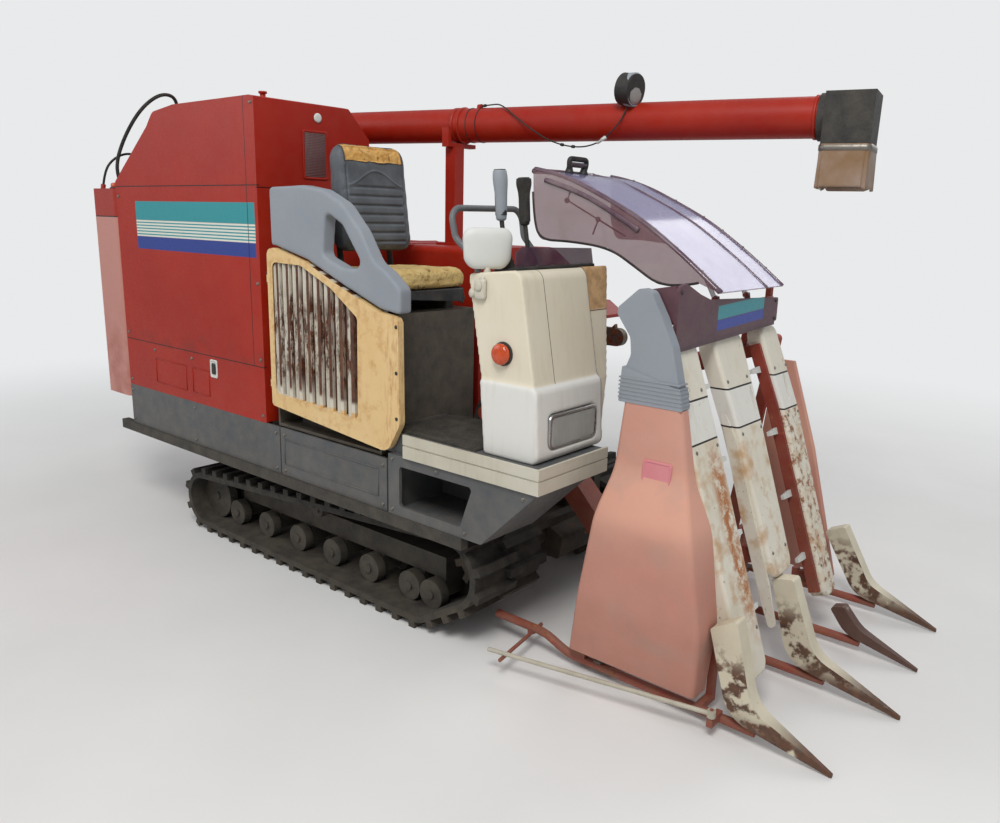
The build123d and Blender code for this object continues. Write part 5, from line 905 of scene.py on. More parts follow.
def torn_skirt():
    """What is left of the pad's black cover: a thin sheet round the pad's foot. Sums of sines make it wave outwards
    and give it a ragged lower edge."""
    loop = rounded_loop(0.352, 0.396, 0.055, 26)
    turn = np.arange(len(loop)) * 2 * math.pi / len(loop)
    ragged = 0.036 + 0.020 * np.sin(3 * turn + 0.6) + 0.013 * np.sin(11 * turn) + 0.008 * np.sin(23 * turn + 1)
    ragged = np.clip(ragged, 0.010, 0.070)
    rings = []
    for share in np.linspace(0, 1, 9):
        swing = 1 + share * (0.010 * np.sin(9 * turn) + 0.006 * np.sin(17 * turn + 2)) / 0.19
        rings.append(np.column_stack([SEAT_X + loop[:, 0] * swing, SEAT_Y + loop[:, 1] * swing,
                                      1.3165 - ragged * share]))
    skirt = lofted("seat_cover_rags", rings, rag_vinyl, caps=False)
    skirt.modifiers.new("sheet", "SOLIDIFY").thickness = 0.0012
    bake(skirt)
    put(skirt, "chassis")


torn_skirt()

SPOUT_X = 3240 + 85.5     # mm along the auger to the middle of its spout


def sleeve_ring(loop, drop):
    """An outline round the spout at a drop in mm below the auger's axis."""
    return boom(*[(SPOUT_X + x * 1000, y * 1000, -d) for (x, y), d in zip(loop, np.broadcast_to(drop, len(loop)))])


def chute_sheet():
    """Soft sheet hung round the spout: a rounded tube that waves, by two sines, towards its cut lower edge; and the
    clamp round its top."""
    loop = rounded_loop(0.176, 0.185, 0.022, 12)
    turn = np.arange(len(loop)) * 2 * math.pi / len(loop)
    out = loop / np.linalg.norm(loop, axis=1)[:, None]
    rings = []
    for share in np.linspace(0, 1, 15):
        fold = share * (0.0045 * np.sin(7 * turn + 1) + 0.003 * np.sin(12 * turn))
        rings.append(sleeve_ring(loop + out * fold[:, None], 100 + 155 * share + share ** 6 * 5 * np.sin(5 * turn)))
    sheet = lofted("chute_sheet", rings, chute_pvc, caps=False)
    sheet.modifiers.new("sheet", "SOLIDIFY").thickness = 0.0015
    bake(sheet)
    put(sheet, "auger_boom", stands_for=("chute",))
    section = ((0.001, 104), (0.001, 124), (0.000, 124), (-0.0016, 123), (-0.0016, 105), (0.000, 104))
    clamp = [sleeve_ring(rounded_loop(0.180 - 2 * inset, 0.189 - 2 * inset, 0.024, 8), drop) for inset, drop in section]
    put(lofted("chute_clamp", clamp, zinc_steel, caps=False), "auger_boom")


chute_sheet()

# Hood: edge trims, rear rim, handle, stay and studs
ROOF = [(0.540, 1.783), (0.672, 1.762), (0.902, 1.661), (1.022, 1.600), (1.113, 1.541), (1.233, 1.457), (1.340, 1.372)]
WALL_LOW = [(1.262, 1.400), (1.215, 1.388), (1.108, 1.384), (1.012, 1.440), (0.900, 1.502), (0.720, 1.520),
            (0.580, 1.520), (0.548, 1.600), (0.540, 1.700)]
STAY_Y = -0.291


def at_place(line, y):
    """The points of a line seen from the side, at one place across."""
    return [(x, y, z) for x, z in line]


def edge_band(name, y_low, y_high, thick, body):
    """A half-round band over the roof's edge: its section stands on the roof between two places across."""
    line = smooth_line(at_place(ROOF, 0), 70)
    runs = np.gradient(line, axis=0)
    out = np.column_stack([-runs[:, 2], np.zeros(len(runs)), runs[:, 0]])
    out /= np.linalg.norm(out, axis=1)[:, None]
    middle, half = (y_low + y_high) / 2, (y_high - y_low) / 2
    turn = np.linspace(0, 2 * math.pi, 13)[:-1]
    rings = []
    for point, away in zip(line, out):
        ring = point + np.outer(np.maximum(np.sin(turn), -0.25) * thick - 0.001, away)
        ring[:, 1] = middle + half * np.cos(turn)
        rings.append(ring)
    put(lofted(name, rings, edge_acrylic), body)


def hood_rod(name, points, radius, finish, count, flat=1.0):
    """A round rod along a smooth line through control points."""
    joined(name, [swept(smooth_line(points, count), radius, 12, flat)], finish, "hood_lid")


def hood_handle():
    """A bent bar with a cross bar, on two flared boots."""
    bend = [(0.562, -0.096, 1.785), (0.566, -0.102, 1.806), (0.567, -0.104, 1.826), (0.568, -0.098, 1.834),
            (0.568, -0.080, 1.8345), (0.568, -0.045, 1.8345), (0.568, -0.010, 1.8345), (0.568, 0.008, 1.834),
            (0.567, 0.014, 1.826), (0.566, 0.012, 1.806), (0.562, 0.006, 1.785)]
    parts = [swept(smooth_line(bend, 70), 0.0105, 14, up=(1, 0, 0)),
             swept([(0.566, -0.104, 1.8120), (0.566, 0.014, 1.8120)], 0.0102, 14)]
    boot = ((0.019, -0.004), (0.019, 0.002), (0.0165, 0.006), (0.0125, 0.018), (0.0115, 0.024))
    parts += [turned(boot, (0.561, y, 1.781), (0.06, 0, 1), 20) for y in (-0.095, 0.005)]
    joined("hood_handle", parts, black_abs, "hood_lid")


def hood_stay():
    """Three rods inside the hood's wall, and the two knobs that they hang from."""
    rods = (((0.700, 1.668), (0.960, 1.545), 0.0032), ((0.700, 1.668), (0.715, 1.718), 0.003),
            ((0.842, 1.602), (0.820, 1.548), 0.0032))
    parts = [swept(at_place((a, b), STAY_Y), radius, 8) for a, b, radius in rods]
    knob = ((0.009, -0.003), (0.010, 0.0), (0.009, 0.005))
    parts += [turned(knob, (x, STAY_Y - 0.0045, z), (0, 1, 0), 16) for x, z in ((0.700, 1.668), (0.842, 1.602))]
    joined("hood_stay", parts, black_abs, "hood_lid")


def hood_studs(name, y, lift, body):
    """A row of studs along one edge of the roof."""
    line = smooth_line(at_place(ROOF, 0), 100)
    places = [line[int(share * 99)] for share in (0.10, 0.28, 0.46, 0.63, 0.80, 0.93)]
    screws(name, [((x, y, z + lift), (0.45, 0, 0.9)) for x, _, z in places], 0.0045, 0.004, zinc_steel, body, 12)


edge_band("hood_edge_band", -0.301, -0.272, 0.011, "hood_lid")
edge_band("hood_inner_band", 0.088, 0.104, 0.006, "hood_lid")
edge_band("hood_side_band", 0.236, 0.250, 0.008, "header")
hood_rod("hood_rear_rim", [(0.542, -0.300, 1.776), (0.544, -0.200, 1.779), (0.544, -0.050, 1.779),
                           (0.544, 0.104, 1.779)], 0.010, edge_acrylic, 20)
hood_rod("hood_wall_trim", at_place(WALL_LOW, -0.2975), 0.0045, black_rubber, 80)
hood_rod("hood_ridge", [(0.60, -0.303, 1.742), (0.76, -0.303, 1.700), (0.92, -0.303, 1.622),
                        (1.02, -0.303, 1.566)], 0.006, edge_acrylic, 40, flat=1.6)
hood_handle()
hood_stay()
hood_studs("hood_studs", -0.2865, 0.009, "hood_lid")
hood_studs("hood_side_studs", 0.243, 0.006, "header")


# Levers: a long rounded gray grip, a black grip with a broad head, and their ribbed boots
def lever_grip(name, base, top, radii, flat, finish, lean=(0, 0, 0)):
    """A moulded grip about its lever's line: ellipses whose radii follow the hand."""
    base, top = np.asarray(base, float), np.asarray(top, float)
    share = np.linspace(0, 1, len(radii))
    line = base + np.outer(share, top - base) + np.outer(np.sin(math.pi * share), lean)
    fine = np.linspace(0, 1, 36)
    path = np.stack([np.interp(fine, share, line[:, k]) for k in range(3)], 1)
    size = np.interp(fine, share, radii)
    size = np.convolve(np.pad(size, 2, mode="edge"), np.ones(5) / 5, mode="valid")
    size[0], size[-1] = size[0] * 0.7, size[-1] * 0.45
    joined(name, [swept(path, size, 20, flat, up=(1, 0, 0.1))], finish, "chassis")


def lever_boot(x, y):
    """Five folds, each smaller than the one below, on a flange."""
    rings, tall = [(0.046, 0.0), (0.046, 0.004)], 0.013
    for k in range(5):
        size = 0.040 - k * 0.0055
        rings += [(size, 0.006 + k * tall), (size - 0.008, 0.012 + k * tall)]
    return turned(rings + [(0.0105, 0.074)], (x, y, 1.4225), (-0.10, 0, 1), 24)


lever_grip("lever_grip_gray", (0.7055, -0.6795, 1.590), (0.698, -0.686, 1.7585),
           (0.0185, 0.0215, 0.022, 0.0225, 0.024, 0.027, 0.028, 0.024), 0.86, lamp_abs, (0.003, 0, 0))
lever_grip("lever_grip_black", (0.7055, -0.550, 1.575), (0.699, -0.556, 1.7385),
           (0.0185, 0.0212, 0.0215, 0.022, 0.0225, 0.025, 0.032, 0.029), 0.80, black_rubber)
joined("lever_boots", [lever_boot(0.735, -0.680), lever_boot(0.735, -0.550)], black_rubber, "chassis")


# Mirror: a domed white back, its glass, and a bracket with a clamp on the console's rear corner
def mirror_piece():
    """A rounded shield stepped through ever smaller outlines towards the crown of its back."""
    turn = math.radians(38)
    x_axis, out = np.array((math.sin(turn), math.cos(turn), 0)), np.array((math.cos(turn), -math.sin(turn), 0))
    loop = rounded_loop(0.168, 0.136, 0.036, 9)
    loop[:, 0] *= 1 - 0.16 * np.clip(-loop[:, 1] / 0.068, 0, 1) ** 1.5
    middle = np.array((0.728, -0.772, 1.499))
    back = plates(loop, middle, x_axis, (0, 0, 1), [(0.004, -0.016), (0.0, -0.012), (0.0, -0.002), (0.003, 0.006),
                                                    (0.010, 0.0115), (0.022, 0.0145), (0.040, 0.0158), (0.060, 0.016)])
    joined("mirror_shell", [back], white_abs, "chassis", stands_for=("mirror",))
    glass = plates(loop * 0.93, middle - out * 0.0162, -x_axis, (0, 0, 1), [(0, 0), (0, 0.0008), (0.002, 0.001)])
    joined("mirror_glass", [glass], bright_steel, "chassis")
    bend = [(0.728, -0.772, 1.436), (0.728, -0.773, 1.420), (0.727, -0.790, 1.404), (0.726, -0.8005, 1.392)]
    bracket = [turned(((0.012, 0), (0.014, 0.006), (0.010, 0.016), (0.009, 0.030)), (0.7275, -0.772, 1.412),
                      (0, 0, 1), 20),
               swept(bend, 0.0095, 14, up=(1, 0, 0)),
               plates(rounded_loop(0.046, 0.070, 0.010, 5), (0.722, -0.7925, 1.365), (1, 0, 0), (0, 0, 1),
                      [(0, 0), (0, 0.012), (0.004, 0.016), (0.014, 0.0165)]),
               turned(((0.013, 0), (0.015, 0.004), (0.015, 0.010), (0.009, 0.014)), (0.690, -0.7975, 1.350),
                      (-0.4, -1, 0), 20),
               turned(((0.016, 0), (0.016, 0.004), (0.012, 0.006)), (0.722, -0.8090, 1.376), (0, -1, 0), 20),
               swept([(0.690, -0.7975, 1.350), (0.705, -0.8005, 1.352)], 0.008, 10)]
    joined("mirror_bracket", bracket, trim_enamel, "chassis")


mirror_piece()


# Lamps
def marker_lamps():
    """Turned lens and base of each orange lamp."""
    rows = ((0.823, -0.792, 1.158), (0, -1, 0)), ((-1.780, -0.795, 1.700), (0, 0, 1))
    lens = ((0.031, 0.005), (0.0345, 0.007), (0.036, 0.014), (0.0355, 0.022), (0.030, 0.0275), (0.018, 0.0298),
            (0.006, 0.030))
    joined("marker_lens", [turned(lens, point, out, 32) for point, out in rows], amber_acrylic, "chassis",
           stands_for=("marker_lamps",))
    base = ((0.041, 0.0002), (0.041, 0.004), (0.038, 0.0065), (0.0330, 0.0065))
    joined("marker_base", [turned(base, point, out, 32) for point, out in rows], chassis_enamel, "chassis")


def headlight():
    """A bright rim round a flat lens that turns back at its edge; its flutes are the absolute value of a sine."""
    middle, face = (0.962, -0.5945, 0.9015), 0.9852
    rim = plates(rounded_loop(0.281, 0.121, 0.025, 10), middle, (0, 1, 0), (0, 0, 1),
                 [(0, 0), (0, 0.0225), (0.004, 0.0235), (0.009, 0.0235), (0.011, 0.017), (0.040, 0.013)])
    joined("headlight_rim", [rim], bright_steel, "chassis", stands_for=("headlight",))
    wide, tall, flute, columns, rows = 0.259, 0.099, 0.0085, 161, 17
    grid_y, grid_z = np.meshgrid(np.linspace(-wide / 2, wide / 2, columns), np.linspace(-tall / 2, tall / 2, rows))
    edge = np.minimum(wide / 2 - abs(grid_y), tall / 2 - abs(grid_z))
    depth = face - 0.002 * np.clip(1 - edge / 0.012, 0, 1) ** 2
    depth -= 0.0012 * abs(np.sin(grid_y * math.pi / flute)) * (edge > 0.004)
    points = np.stack([depth, middle[1] + grid_y, middle[2] + grid_z], -1).reshape(-1, 3)
    joined("headlight_lens", [(points, grid_faces(rows, columns))], clear_lens, "chassis")


def work_lamp():
    """The turned shell of the lamp on the auger and its domed glass."""
    centre, ahead = (np.array(p) for p in boom((2480, -60, 117), (2480 + 60, -74, 112)))
    shell = ((0.030, -0.052), (0.046, -0.045), (0.058, -0.028), (0.064, -0.004), (0.0655, 0.018), (0.0655, 0.026),
             (0.060, 0.030), (0.057, 0.026))
    joined("work_lamp_shell", [turned(shell, centre, ahead - centre, 40)], lamp_abs, "auger_boom")
    glass = ((0.0575, 0.024), (0.056, 0.0285), (0.040, 0.0315), (0.015, 0.033), (0.002, 0.0332))
    joined("work_lamp_glass", [turned(glass, centre, ahead - centre, 40)], clear_lens, "auger_boom")


marker_lamps()
headlight()
work_lamp()


# Engine door: the fluted sheet behind the bars, and its screws
def fluted_sheet():
    """A sheet pressed into half-round flutes along its width, a sine cut off at its foot, inside the opening."""
    columns, rows, foot = 260, 12, 0.822
    x = np.linspace(-0.400, 0.156, columns)
    tops = np.interp(x, (-0.400, -0.385, -0.195, -0.009, 0.148, 0.156), (1.400, 1.402, 1.398, 1.322, 1.222, 1.216))
    y = -0.8330 - 0.0105 * np.clip(np.sin(x * 2 * math.pi / FLUTE_PITCH), -0.55, 1)
    points = np.concatenate([np.column_stack([x, y, foot + (tops - foot) * k / (rows - 1)]) for k in range(rows)])
    joined("door_flutes", [(points, grid_faces(rows, columns))], flute_enamel, "door")


fluted_sheet()
screws("door_screws", [((0.362, -0.8500, z), (0, -1, 0)) for z in (1.205, 1.035, 0.862)], 0.006, 0.004,
       chassis_enamel, "door", 12)


def moulding(node, name, voxel, passes, finish, body):
    """A moulded shell from a CAD solid's own form: remeshed finely and smoothed, which rounds its edges."""
    piece = bpy.data.objects.new(name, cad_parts[node].data.copy())
    SCENE.collection.objects.link(piece)
    piece.data.materials.clear()
    piece.data.materials.append(finish)
    remeshed(piece, voxel)
    soften = piece.modifiers.new("soften", "SMOOTH")
    soften.factor, soften.iterations = 0.5, passes
    bake(piece)
    put(piece, body, stands_for=(node,))


moulding("armrest_shell", "armrest_moulding", 0.005, 14, gray_abs, "chassis")
moulding("console", "console_moulding", 0.0055, 8, ivory_abs, "chassis")


# Floor mat: ribs pressed along it, a rim, and the pedal's red pad
def mat_ribs():
    """Half-round ribs side by side on the mat, whose ends run out short of a raised rim."""
    x_low, x_high, y_low, y_high = 0.264, 0.716, -0.804, -0.464
    shapes = []
    for y in np.arange(y_low + 0.020, y_high - 0.012, 0.0125):
        rib = [(x_low + 0.018, y, 0.8058), (x_low + 0.022, y, 0.8062), (x_high - 0.022, y, 0.8062),
               (x_high - 0.018, y, 0.8058)]
        shapes.append(swept(rib, (0.001, 0.0042, 0.0042, 0.001), 8, 0.75))
    x_low, x_high, y_low, y_high = x_low + 0.006, x_high - 0.006, y_low + 0.006, y_high - 0.006
    shapes += pressed([(x_low, y_low, 0.8065), (x_high, y_low, 0.8065), (x_high, y_high, 0.8065),
                       (x_low, y_high, 0.8065)], 0.005)
    joined("mat_ribs", shapes, mat_rubber, "chassis")
    pad = plates(rounded_loop(0.086, 0.056, 0.010, 5), (0.645, -0.530, 0.8302), (1, 0, 0), (0, 1, 0),
                 [(0.004, 0), (0, 0.003), (0, 0.007), (0.004, 0.0095)])
    bars = [swept([(x, -0.552, 0.8400), (x, -0.508, 0.8400)], 0.0022, 8) for x in 0.610 + 0.0115 * np.arange(7)]
    joined("pedal_pad", [pad] + bars, frame_enamel, "chassis")


mat_ribs()

# Tank: mesh window with its frame, reflector, side latch, pressed outlines, a lug on the roof and screws
TANK_SKIN = -0.8300     # the tank's right side


def window():
    """A stepped frame round two layers of fine wires."""
    middle_y, middle_z, wide, tall, pitch, wire = -0.5255, 1.847, 0.113, 0.186, 0.0066, 0.0011
    frame_mesh = plates(rounded_loop(wide + 0.020, tall + 0.020, 0.008, 4), (-0.4998, middle_y, middle_z),
                        (0, 1, 0), (0, 0, 1),
                        [(0, 0), (0, 0.003), (0.002, 0.0042), (0.008, 0.0042), (0.010, 0.0012), (0.012, 0.0012)])
    joined("window_frame", [frame_mesh], tank_enamel, "chassis")
    low, high, left, right = middle_z - tall / 2, middle_z + tall / 2, middle_y - wide / 2, middle_y + wide / 2
    wires = [swept([(-0.4982, middle_y + y, low), (-0.4982, middle_y + y, high)], wire, 5, up=(1, 0, 0))
             for y in np.arange(-wide / 2 + 0.004, wide / 2, pitch)]
    wires += [swept([(-0.4970, left, middle_z + z), (-0.4970, right, middle_z + z)], wire, 5)
              for z in np.arange(-tall / 2 + 0.004, tall / 2, pitch)]
    joined("window_wires", wires, mesh_steel, "chassis")


def on_side(x_low, x_high, z_low, z_high, y=TANK_SKIN - 0.0005):
    """The corners of an outline on a side face."""
    return [(x_low, y, z_low), (x_high, y, z_low), (x_high, y, z_high), (x_low, y, z_high)]


def tank_details():
    """Pieces that stand on the tank's front, side and roof."""
    reflector = turned(((0.020, 0), (0.020, 0.003), (0.017, 0.0055), (0.010, 0.0065)), (-0.500, -0.508, 2.004),
                       (1, 0, 0), 28)
    joined("tank_reflector", [reflector], white_abs, "chassis")
    latch = plates(rounded_loop(0.060, 0.086, 0.010, 5), (-0.905, TANK_SKIN, 0.880), (1, 0, 0), (0, 0, 1),
                   [(0, 0), (0, 0.003), (0.003, 0.0042), (0.007, 0.0042), (0.010, 0.001), (0.014, 0.001)])
    joined("latch_frame", [latch], white_abs, "chassis")
    lever = plates(rounded_loop(0.030, 0.052, 0.006, 4), (-0.905, TANK_SKIN - 0.0008, 0.880), (1, 0, 0), (0, 0, 1),
                   [(0, 0), (0, 0.004), (0.003, 0.006), (0.008, 0.0065)])
    joined("latch_lever", [lever], black_abs, "chassis")
    outlines = pressed(on_side(-1.10, -0.955, 0.740, 0.862), 0.0025, 1) + \
        pressed(on_side(-1.45, -1.16, 0.740, 0.862), 0.0025, 1)
    joined("tank_embossing", outlines, tank_enamel, "chassis")
    lug = turned(((0.030, 0), (0.030, 0.006), (0.012, 0.012), (0.012, 0.024), (0.018, 0.026), (0.018, 0.034)),
                 (-0.62, -0.70, 2.0648), (0, 0, 1), 20)
    joined("tank_lugs", [lug], tank_enamel, "chassis")
    rows = ((-0.522, 2.035), (-0.522, 1.30), (-0.522, 0.97), (-1.715, 1.66), (-1.715, 0.97), (-1.715, 0.72),
            (-0.522, 0.72), (-1.10, 0.905), (-1.45, 0.905))
    screws("tank_screws", [((x, TANK_SKIN, z), (0, -1, 0)) for x, z in rows], 0.0065, 0.005, zinc_steel, "chassis")


window()
tank_details()


# Skirts, step box and windscreen: pressed outline, screws and the screen's rubber foot
def lower_details():
    """A raised outline pressed into the side skirt, and screws along the skirts, the step box and the screen."""
    joined("skirt_embossing", pressed(on_side(-0.372, 0.235, 0.530, 0.640), 0.003, 1), dark_enamel, "chassis")
    rows = [((x, -0.8302, z), (0, -1, 0)) for z in (0.66, 0.50) for x in (-1.72, -1.10, -0.43, -0.37, 0.262)]
    rows += [((x, -0.8382, z), (0, -1, 0)) for x, z in ((0.325, 0.700), (0.325, 0.500), (0.700, 0.500),
                                                        (0.560, 0.700), (0.960, 0.690))]
    screws("skirt_screws", rows, 0.006, 0.005, zinc_steel, "chassis")
    rows = [((0.846 + 0.0045, y, 1.443), (1, 0, 0)) for y in (-0.745, -0.66, -0.575, -0.49, -0.40, -0.345)]
    screws("screen_screws", rows, 0.0045, 0.003, chassis_enamel, "chassis", 12)
    foot = [(0.852, -0.771, 1.4375), (0.852, -0.600, 1.4375), (0.852, -0.424, 1.4385), (0.852, -0.326, 1.4385)]
    joined("screen_gasket", [swept(foot, 0.0055, 10, 1.3)], black_rubber, "chassis")


lower_details()

# Header: recess in the right cover, panel screws, case screws and the boss on the first case
CASE_SLOPE = 0.352      # how far the cases' faces run forward for each metre down
CASE_LEAN = np.array((1, 0, CASE_SLOPE)) / math.hypot(1, CASE_SLOPE)


def case_face(y, z):
    """A place on the cases' front faces."""
    return 1.300 + (1.220 - z) * CASE_SLOPE, y, z


def header_details():
    """Pieces that ride with the header."""
    middle, upright = np.array((1.327, -0.6165, 0.800)), np.array((0, 0.10, 1.0))
    recess = plates(rounded_loop(0.104, 0.100, 0.008, 4), middle, (1, 0, 0), upright,
                    [(0, -0.006), (0, 0.002), (0.002, 0.0035), (0.006, 0.0035), (0.008, 0.001), (0.010, 0.001)])
    joined("cover_recess", [recess], recess_pink, "header")
    slot = plates(rounded_loop(0.082, 0.030, 0.003, 3), middle + (0, 0.001 - 0.0035, -0.030), (1, 0, 0), upright,
                  [(0, -0.002), (0, 0.0026), (0.002, 0.003)])
    joined("cover_slot", [slot], plum_dark, "header")
    rows = [((1.3262, y, z), (1, 0, 0)) for y, z in ((-0.530, 1.215), (-0.530, 1.385), (0.225, 1.248), (0.225, 1.315))]
    screws("panel_screws", rows, 0.006, 0.004, chassis_enamel, "header", 12)
    rows = ((-0.500, 1.06), (-0.405, 1.06), (-0.53, 0.88), (-0.385, 0.88), (-0.205, 1.06), (-0.05, 1.06),
            (-0.185, 0.88), (-0.03, 0.88), (0.205, 1.06), (0.312, 1.06), (0.225, 0.88), (0.325, 0.88), (-0.53, 0.30),
            (-0.41, 0.30), (-0.17, 0.47), (-0.06, 0.47), (0.205, 0.32), (0.29, 0.32))
    screws("case_screws", [(case_face(y, z), CASE_LEAN) for y, z in rows], 0.0055, 0.0035, zinc_steel, "header", 12)
    boss = plates(rounded_loop(0.050, 0.110, 0.0245, 12), case_face(-0.435, 0.385) - CASE_LEAN * 0.001, (0, 1, 0),
                  np.cross((0, 1, 0), CASE_LEAN), [(0, 0), (0, 0.002), (0.004, 0.006), (0.010, 0.008), (0.018, 0.0085)])
    joined("case_boss", [boss], case_enamel, "header")


header_details()


# Left side and rear: screws, pressed lines, louvres, latches and handles
COVER_SKIN, CUTTER_SKIN, REAR_SKIN = 0.820, 0.700, -2.033     # left faces' places across, rear face's along
BEAD_LIFT = 0.0003      # how far a bead's middle stands off its face


def louvre(low, high, out, radius=0.008):
    """A pressed half-round rib whose ends run out."""
    share = np.linspace(0, 1, 9)[:, None]
    path = np.asarray(low) * (1 - share) + np.asarray(high) * share
    return swept(path, radius * np.clip(6 * np.minimum(share, 1 - share).ravel(), 0.12, 1), 12, 0.75, out)


def grab_bar(name, low, high, out, body, radius=0.007, reach=0.038):
    """A bent round bar that stands off a panel at both ends."""
    low, high, out = (np.asarray(v, float) for v in (low, high, out))
    along = (high - low) / np.linalg.norm(high - low)
    rise = out * reach
    path = smooth_line([low - out * 0.004, low + rise * 0.6, low + rise, low + rise + along * 0.03,
                        high + rise - along * 0.03, high + rise, high + rise * 0.6, high - out * 0.004], 60)
    joined(name, [swept(path, radius, 12, up=np.cross(along, out))], cast_iron, body)


def far_side_details():
    """Fasteners, beads, ribs, latches and handles on the left side, the thresher's roof and the straw cutter."""
    left, rear = (0, 1, 0), (-1, 0, 0)
    rows = [((x, 0.8202, z), left) for x in (-1.45, -1.05, -0.66, -0.27, 0.12) for z in (0.625, 0.905)]
    rows += [((x, 0.8502, 1.150), left) for x in (-1.44, -0.92, -0.40, 0.10)]
    rows += [((x, 0.7002, z), left) for x, z in ((-1.98, 0.68), (-1.65, 0.61), (-1.65, 1.22), (-1.98, 1.17))]
    rows += [((-2.0332, y, z), rear) for y in (-0.08, 0.29, 0.665) for z in (0.675, 1.135)]
    screws("left_screws", rows, 0.0075, 0.005, zinc_steel, "chassis")
    side, cutter, back = COVER_SKIN + BEAD_LIFT, CUTTER_SKIN + BEAD_LIFT, REAR_SKIN - BEAD_LIFT
    beads = pressed(on_side(-1.40, -0.72, 0.660, 0.870, side)) + pressed(on_side(-0.60, 0.07, 0.660, 0.870, side))
    beads += pressed([(back, -0.03, 0.72), (back, 0.61, 0.72), (back, 0.61, 1.10), (back, -0.03, 1.10)])
    beads += pressed([(-1.95, cutter, 0.70), (-1.67, cutter, 0.66), (-1.67, cutter, 1.18), (-1.95, cutter, 1.12)])
    beads += [louvre((x, side, 0.695), (x, side, 0.835), left) for x in np.linspace(-1.32, -1.04, 8)]
    beads += [louvre((back, 0.06, z), (back, 0.30, z), rear) for z in np.linspace(0.78, 1.04, 6)]
    joined("left_embossing", beads, red_enamel, "chassis")
    latches = []
    for x, z in ((-0.50, 0.70), (-0.50, 0.83), (0.03, 0.765)):
        latches.append(turned(((0.017, -0.0005), (0.017, 0.002), (0.014, 0.0045), (0.006, 0.0055)), (x, 0.8202, z),
                              left, 24))
        latches.append(swept([(x, 0.8235, z), (x + 0.012, 0.8275, z), (x + 0.038, 0.8285, z)],
                             [0.0055, 0.006, 0.0045], 10, 0.7, left))
    joined("left_latches", latches, cast_iron, "chassis")
    grab_bar("left_cover_handle", (-0.93, COVER_SKIN, 0.765), (-0.79, COVER_SKIN, 0.765), left, "chassis", 0.006, 0.023)
    grab_bar("cutter_handle", (-1.82, CUTTER_SKIN, 0.84), (-1.82, CUTTER_SKIN, 0.98), left, "chassis")
    slope = np.array((0, 0.120, 0.210)) / math.hypot(0.120, 0.210)
    grab_bar("roof_handle", (-0.98, 0.440, 1.4071), (-0.82, 0.440, 1.4071), slope, "drum_cover")
    roof = [swept([(x, -0.13, 1.4702), (x, 0.322, 1.4702), (x, 0.338, 1.4657), (x, 0.532, 1.3548)], 0.006, 10, 0.6)
            for x in (-1.43, -1.16, -0.59, -0.32)]
    joined("roof_beads", roof, red_enamel, "drum_cover")
    bolts = [((x, 0.548, 1.30), (0, 1, 0.09)) for x in (-1.40, -0.88, -0.36)]
    screws("roof_screws", bolts, 0.0075, 0.005, zinc_steel, "drum_cover")


far_side_details()

# Right side cover: one moulded shell with rounded creases
COVER_WALL, COVER_CORNER, COVER_INNER = 0.006, 0.018, -0.557
COVER_ROWS = np.array(((0.096, 1.030, 1.528, -0.640), (0.340, 1.086, 1.552, -0.690), (0.650, 1.144, 1.506, -0.700),
                       (0.795, 1.160, 1.436, -0.612), (1.022, 1.178, 1.392, -0.600)))    # height, rear, front, outer
CREASE_REACH = 0.075     # how far a rounded crease runs up and down the cover
CREASE_MOST = 0.48       # and at most this share of the way to the next crease


def crease_end(row, other):
    """Where the crease at one row ends on the way to another row."""
    span = abs(other[0] - row[0])
    reach = min(CREASE_REACH, CREASE_MOST * span) / span
    return row + (other - row) * reach


def cover_line():
    """Height, rear, front and outer face up the cover: a B-spline that leaves the straight faces near each crease."""
    points = [COVER_ROWS[0]]
    for below, row, above in zip(COVER_ROWS, COVER_ROWS[1:], COVER_ROWS[2:]):
        points += [crease_end(row, below), row, crease_end(row, above)]
    return smooth_line(points + [COVER_ROWS[-1]], 132)


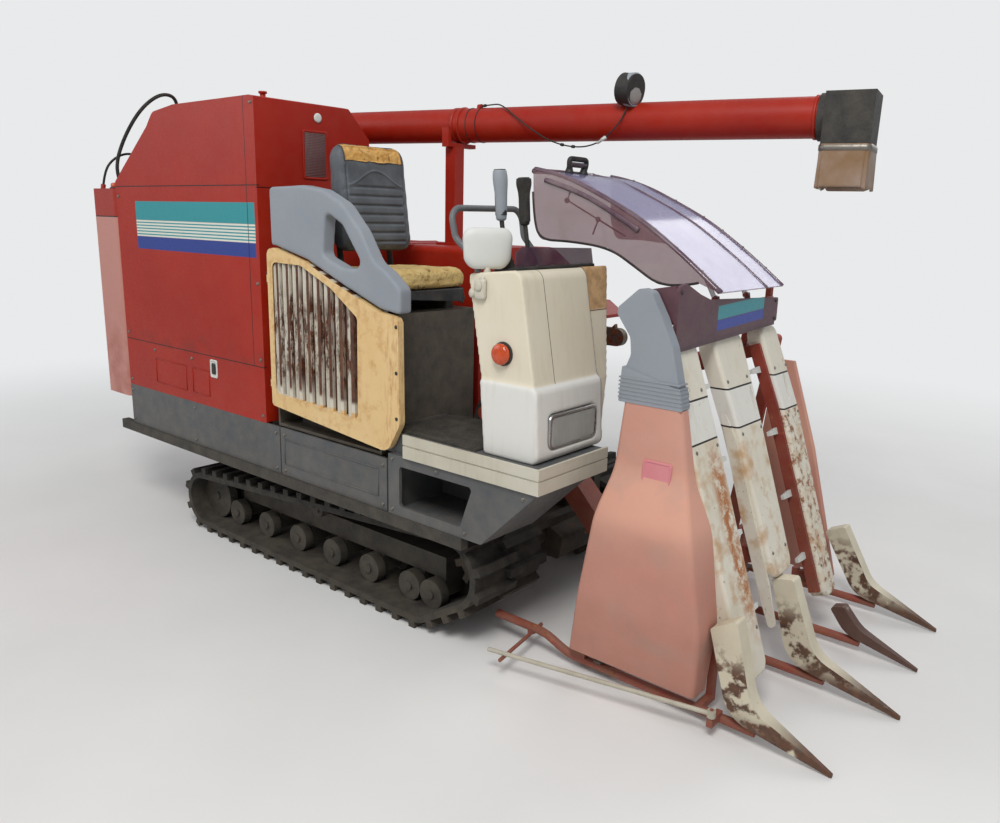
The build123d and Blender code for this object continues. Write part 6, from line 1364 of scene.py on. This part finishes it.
def cover_outline(rear, front, outer, corner, steps=7):
    """An open path at one height: from the inner rear edge round both outer corners to the inner front edge."""
    turn = np.linspace(0, math.pi / 2, steps)
    first = np.stack([rear + corner - corner * np.cos(turn), outer + corner - corner * np.sin(turn)], 1)
    second = np.stack([front - corner + corner * np.sin(turn), outer + corner - corner * np.cos(turn)], 1)
    side = np.linspace(0, 1, 5)[1:-1, None]
    face = first[-1] * (1 - side) + second[0] * side
    return np.vstack([[(rear, COVER_INNER)], first, face, second, [(front, COVER_INNER)]])


def side_cover_shell():
    """The outline out and, a wall's thickness inside, back again, carried up the cover; both ends are closed by
    strips."""
    rings = []
    for z, rear, front, outer in cover_line():
        out = cover_outline(rear, front, outer, COVER_CORNER)
        back = cover_outline(rear + COVER_WALL, front - COVER_WALL, outer + COVER_WALL, COVER_CORNER - COVER_WALL)
        loop = np.vstack([out, back[::-1]])
        rings.append(np.column_stack([loop, np.full(len(loop), z)]))
    around = len(rings[0])
    faces = ring_faces(len(rings), around, caps=False)
    top = (len(rings) - 1) * around
    for k in range(around // 2 - 1):
        faces.append((k, k + 1, around - 2 - k, around - 1 - k))
        faces.append((top + k + 1, top + k, top + around - 1 - k, top + around - 2 - k))
    shell = mesh_piece("side_cover_shell", np.concatenate(rings), faces, pink_gelcoat)
    mesh = bmesh.new()
    mesh.from_mesh(shell.data)
    bmesh.ops.recalc_face_normals(mesh, faces=mesh.faces)
    mesh.to_mesh(shell.data)
    mesh.free()
    shell.data.set_sharp_from_angle(angle=math.radians(40))
    put(shell, "header", stands_for=("side_cover_right",))


side_cover_shell()


# Auger: bands and ties round the tube
def tube_bands():
    """Rings about the auger's tube: (place along it, half width, height above the skin), all in mm."""
    bands = []
    for x, half, rise in ((150, 8, 6), (1620, 10, 4), (1655, 4, 6), (3205, 6, 5)):
        half, r = half / 1000, 0.075 + rise / 1000
        bands.append(turned(((0.0752, -half), (r, -half), (r, half), (0.0752, half)), *boom_axis(x), 48))
    joined("tube_bands", bands, red_enamel, "auger_boom")
    tie = ((0.0751, -0.0022), (0.0770, -0.0015), (0.0770, 0.0015), (0.0751, 0.0022))
    joined("tube_ties", [turned(tie, *boom_axis(x), 48) for x in (1752, 1700)], black_rubber, "auger_boom")


tube_bands()
